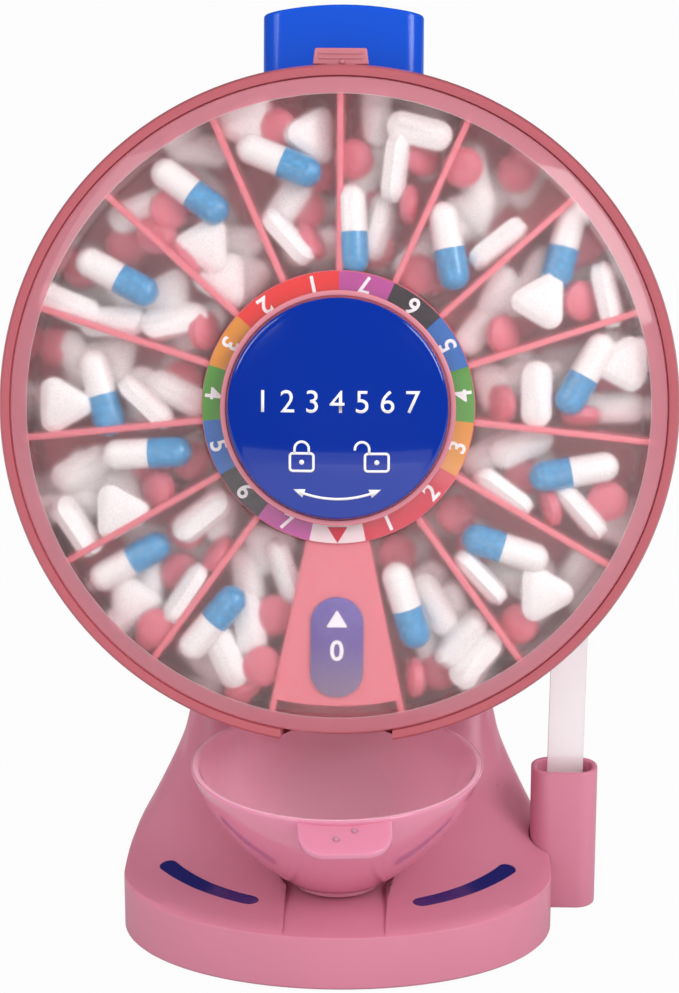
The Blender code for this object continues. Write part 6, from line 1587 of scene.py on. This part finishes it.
class DISPENSER_OT_fittings(bpy.types.Operator):
    """Gives the frame's own solids that stay their finish"""

    bl_idname = "dispenser.fittings"
    bl_label = "Fittings"

    def execute(self, context):
        finish = {"stand_pink": "pink_abs", "drum_coral": "coral_abs", "tray_pink": "tray_polypropylene",
                  "steel": "zinc_plated_steel", "brass": "turned_brass", "rubber": "black_rubber",
                  "acetal": "natural_acetal", "white_plastic": "pale_ring_abs",
                  "label_print": "white_label_print",
                  "cover_clear": "etched_polycarbonate", "bowl_clear": "bowl_styrene",
                  "button_blue": "blue_gloss_abs", "knob_blue": "knob_doming_resin",
                  "inlay_navy": "inlay_gloss_acrylic"}
        slots = {part["node"]: part["material_slot"] for part in frame["record"]["subparts"]}
        for name, node in frame["nodes"].items():
            material = bpy.data.materials[finish[slots[name]]]
            if not node.material_slots:
                node.data.materials.append(material)
            for slot in node.material_slots:
                slot.material = material
        return {"FINISHED"}


class DISPENSER_OT_stage(bpy.types.Operator):
    """Sets up the floor, the white surroundings, the lamps and the camera"""

    bl_idname = "dispenser.stage"
    bl_label = "Stage"

    def execute(self, context):
        stage = context.scene.dispenser_stage
        self.floor()
        self.world(context.scene, stage)
        self.lamps(stage)
        self.camera(context.scene)
        context.scene.view_settings.view_transform = "Standard"
        return {"FINISHED"}

    def floor(self):
        bm = bmesh.new()
        bmesh.ops.create_grid(bm, x_segments=1, y_segments=1, size=3.0)
        floor = to_object(bm, "floor")
        made, tree, shader = new_material(
            "white_floor",
            {"Base Color": (0.55, 0.55, 0.55, 1), "Roughness": 0.9, "Specular IOR Level": 0.1},
        )
        glow = add_node(tree, "ShaderNodeEmission", {"Color": (1, 1, 1, 1), "Strength": 1.0})
        path = add_node(tree, "ShaderNodeLightPath")
        seen = add_node(tree, "ShaderNodeMath", {"operation": "MAXIMUM"})
        link_up(tree, seen, {0: (path, "Is Camera Ray"), 1: (path, "Is Transmission Ray")})
        share = add_node(tree, "ShaderNodeMath", {"operation": "MULTIPLY"}, {0: (seen, "Value")})
        share.inputs[1].default_value = 0.96
        mix = add_node(tree, "ShaderNodeMixShader", {}, {"Fac": (share, "Value")})
        link_up(tree, mix, {1: (shader, "BSDF"), 2: (glow, "Emission")})
        tree.links.new(mix.outputs["Shader"], tree.nodes["Material Output"].inputs["Surface"])
        floor.data.materials.append(made)

    def world(self, scene, stage):
        world = bpy.data.worlds.new("white_room")
        world.use_nodes = True
        tree = world.node_tree
        soft = tree.nodes["Background"]
        soft.inputs["Color"].default_value = (1, 1, 1, 1)
        glossy = add_node(tree, "ShaderNodeMapRange",
                          {"To Min": stage.room_light, "To Max": stage.mirror_light})
        white = add_node(tree, "ShaderNodeBackground", {"Color": (1, 1, 1, 1), "Strength": 1.0})
        path = add_node(tree, "ShaderNodeLightPath")
        seen = add_node(tree, "ShaderNodeMath", {"operation": "MAXIMUM"})
        tree.links.new(path.outputs["Is Glossy Ray"], glossy.inputs["Value"])
        tree.links.new(glossy.outputs["Result"], soft.inputs["Strength"])
        link_up(tree, seen, {0: (path, "Is Camera Ray"), 1: (path, "Is Transmission Ray")})
        mix = add_node(tree, "ShaderNodeMixShader", {}, {"Fac": (seen, "Value")})
        link_up(tree, mix, {1: (soft, "Background"), 2: (white, "Background")})
        tree.links.new(mix.outputs["Shader"], tree.nodes["World Output"].inputs["Surface"])
        scene.world = world

    def lamps(self, stage):
        for name, place, width, height, turn, power in (
            ("left_softbox", (-0.62, -0.55, 0.70), 0.40, 0.50, 0, stage.left_power),
            ("right_softbox", (0.66, -0.50, 0.66), 0.36, 0.50, 0, stage.right_power),
            ("left_strip", (-0.45, -0.70, 0.60), 0.025, 0.34, -40, stage.strip_power),
            ("right_strip", (0.46, -0.70, 0.58), 0.025, 0.34, 40, stage.strip_power),
            ("low_fill", (0.10, -1.15, 0.20), 0.80, 0.45, 0, stage.fill_power),
            ):
            light = bpy.data.lights.new(name, "AREA")
            light.energy = power
            light.shape = "RECTANGLE"
            light.size = width
            light.size_y = height
            lamp = bpy.data.objects.new(name, light)
            bpy.context.scene.collection.objects.link(lamp)
            aim = (WHEEL_CENTRE - Vector(place)).to_track_quat("-Z", "Y").to_matrix().to_4x4()
            aim @= Matrix.Rotation(math.radians(turn), 4, "Z")
            lamp.matrix_world = Matrix.Translation(place) @ aim
            lamp.visible_glossy = name != "low_fill"

    def camera(self, scene):
        data = bpy.data.cameras.new("camera")
        data.sensor_width = 36
        data.lens = CAMERA_LENS
        camera = bpy.data.objects.new("camera", data)
        scene.collection.objects.link(camera)
        camera.location = CAMERA_PLACE
        camera.rotation_euler = (math.pi / 2 - CAMERA_PITCH, 0, -CAMERA_PAN)
        scene.camera = camera


# The camera, as a separate program fitted it to the photograph
CAMERA_PLACE = Vector((0.0188, -0.7148, 0.33925))
CAMERA_PITCH = math.radians(17.92)
CAMERA_PAN = math.radians(-1.5)
CAMERA_LENS = 111.6


def colour_prop(name, description, value):
    return FloatVectorProperty(name=name, description=description, subtype="COLOR", min=0, max=1,
                               default=linear(value))


def length_prop(name, description, value):
    return FloatProperty(name=name, description=description, default=value, unit="LENGTH", min=0,
                         precision=5)


def power_prop(name, description, value):
    return FloatProperty(name=name, description=description, default=value, min=0)


class DispenserSizes(bpy.types.PropertyGroup):
    """Sizes of the visible details"""

    stand_edge: length_prop("Stand edge", "Rounding of the base's edges", 0.0014)
    rim_edge: length_prop("Rim edge", "Rounding of the drum's and bowl's rims", 0.0005)
    cover_edge: length_prop("Cover edge", "Rounding of the cover's edges", 0.0007)
    button_corner: length_prop("Button corner", "Rounding of the button's upright corners", 0.0048)
    button_round: length_prop("Button edge", "Rounding of the button's top edge", 0.0009)
    numeral_height: length_prop("Numeral height", "Height of the label numbers' type", 0.0058)
    frost_outer: length_prop("Frost outer radius", "Where the etched zone ends near the rim", 0.0744)
    frost_inner: length_prop("Frost inner radius", "Where the etched zone starts near the hub", 0.0335)
    frost_grain: length_prop("Frost grain", "Size of the etched grain", 0.0004)
    frost_depth: length_prop("Frost depth", "Height of the etched grain", 0.00001)
    frost_roughness: FloatProperty(name="Frost", description="How far the etched zone blurs", default=0.26,
                                   min=0, max=1)


class DispenserColours(bpy.types.PropertyGroup):
    """Colours of the mouldings and pills"""

    stand: colour_prop("Stand", "Pink of the stand and holder", "#D08098")
    drum: colour_prop("Drum", "Coral of the drum and catch", "#B65D67")
    tray: colour_prop("Tray", "Pink of the carousel", "#DC707E")
    cover: colour_prop("Cover", "Tint of the clear cover", "#FAF5F6")
    button: colour_prop("Button", "Blue of the button", "#0650D2")
    knob: colour_prop("Knob", "Deep blue of the knob", "#002C98")
    ring: colour_prop("Knob ring", "Pink of the ring around the knob", "#D98793")
    inlay: colour_prop("Inlays", "Blue-black of the inlays", "#1B1A6A")
    bowl: colour_prop("Bowl", "Pink of the bowl", "#DC86A0")
    capsule: colour_prop("Capsule", "Blue of the capsules' caps", "#2A94CC")


class DispenserStage(bpy.types.PropertyGroup):
    """Light of the stage"""

    room_light: power_prop("Room light", "Strength of the white surroundings", 0.88)
    mirror_light: power_prop("Room reflection", "Strength of the surroundings in reflections", 0.05)
    left_power: power_prop("Left softbox", "Power of the left lamp in watts", 1.3)
    right_power: power_prop("Right softbox", "Power of the right lamp in watts", 3.2)
    fill_power: power_prop("Low fill", "Power of the low front lamp in watts", 2.0)
    strip_power: power_prop("Strips", "Power of each narrow lamp in watts", 0.3)


OPERATORS = (
    DISPENSER_OT_stand,
    DISPENSER_OT_inlays,
    DISPENSER_OT_drum,
    DISPENSER_OT_carousel,
    DISPENSER_OT_labels,
    DISPENSER_OT_pills,
    DISPENSER_OT_cover,
    DISPENSER_OT_knob,
    DISPENSER_OT_button,
    DISPENSER_OT_bowl,
    DISPENSER_OT_holder,
    DISPENSER_OT_fittings,
    DISPENSER_OT_stage,
)


class DISPENSER_PT_panel(bpy.types.Panel):
    """Lists the dispenser's operators and settings"""

    bl_idname = "DISPENSER_PT_panel"
    bl_label = "Pill dispenser"
    bl_space_type = "VIEW_3D"
    bl_region_type = "UI"
    bl_category = "Dispenser"

    def draw(self, context):
        for group in ("dispenser_sizes", "dispenser_colours", "dispenser_stage"):
            box = self.layout.box()
            settings = getattr(context.scene, group)
            for name in settings.__annotations__:
                box.prop(settings, name)
        for operator in OPERATORS:
            self.layout.operator(operator.bl_idname)


CLASSES = (DispenserSizes, DispenserColours, DispenserStage, *OPERATORS, DISPENSER_PT_panel)


def register():
    for cls in CLASSES:
        bpy.utils.register_class(cls)
    bpy.types.Scene.dispenser_sizes = PointerProperty(type=DispenserSizes)
    bpy.types.Scene.dispenser_colours = PointerProperty(type=DispenserColours)
    bpy.types.Scene.dispenser_stage = PointerProperty(type=DispenserStage)


def unregister():
    del bpy.types.Scene.dispenser_stage
    del bpy.types.Scene.dispenser_colours
    del bpy.types.Scene.dispenser_sizes
    for cls in reversed(CLASSES):
        bpy.utils.unregister_class(cls)


def main():
    register()
    for operator in OPERATORS:
        group, name = operator.bl_idname.split(".")
        getattr(getattr(bpy.ops, group), name)()


if __name__ == "__main__":
    main()
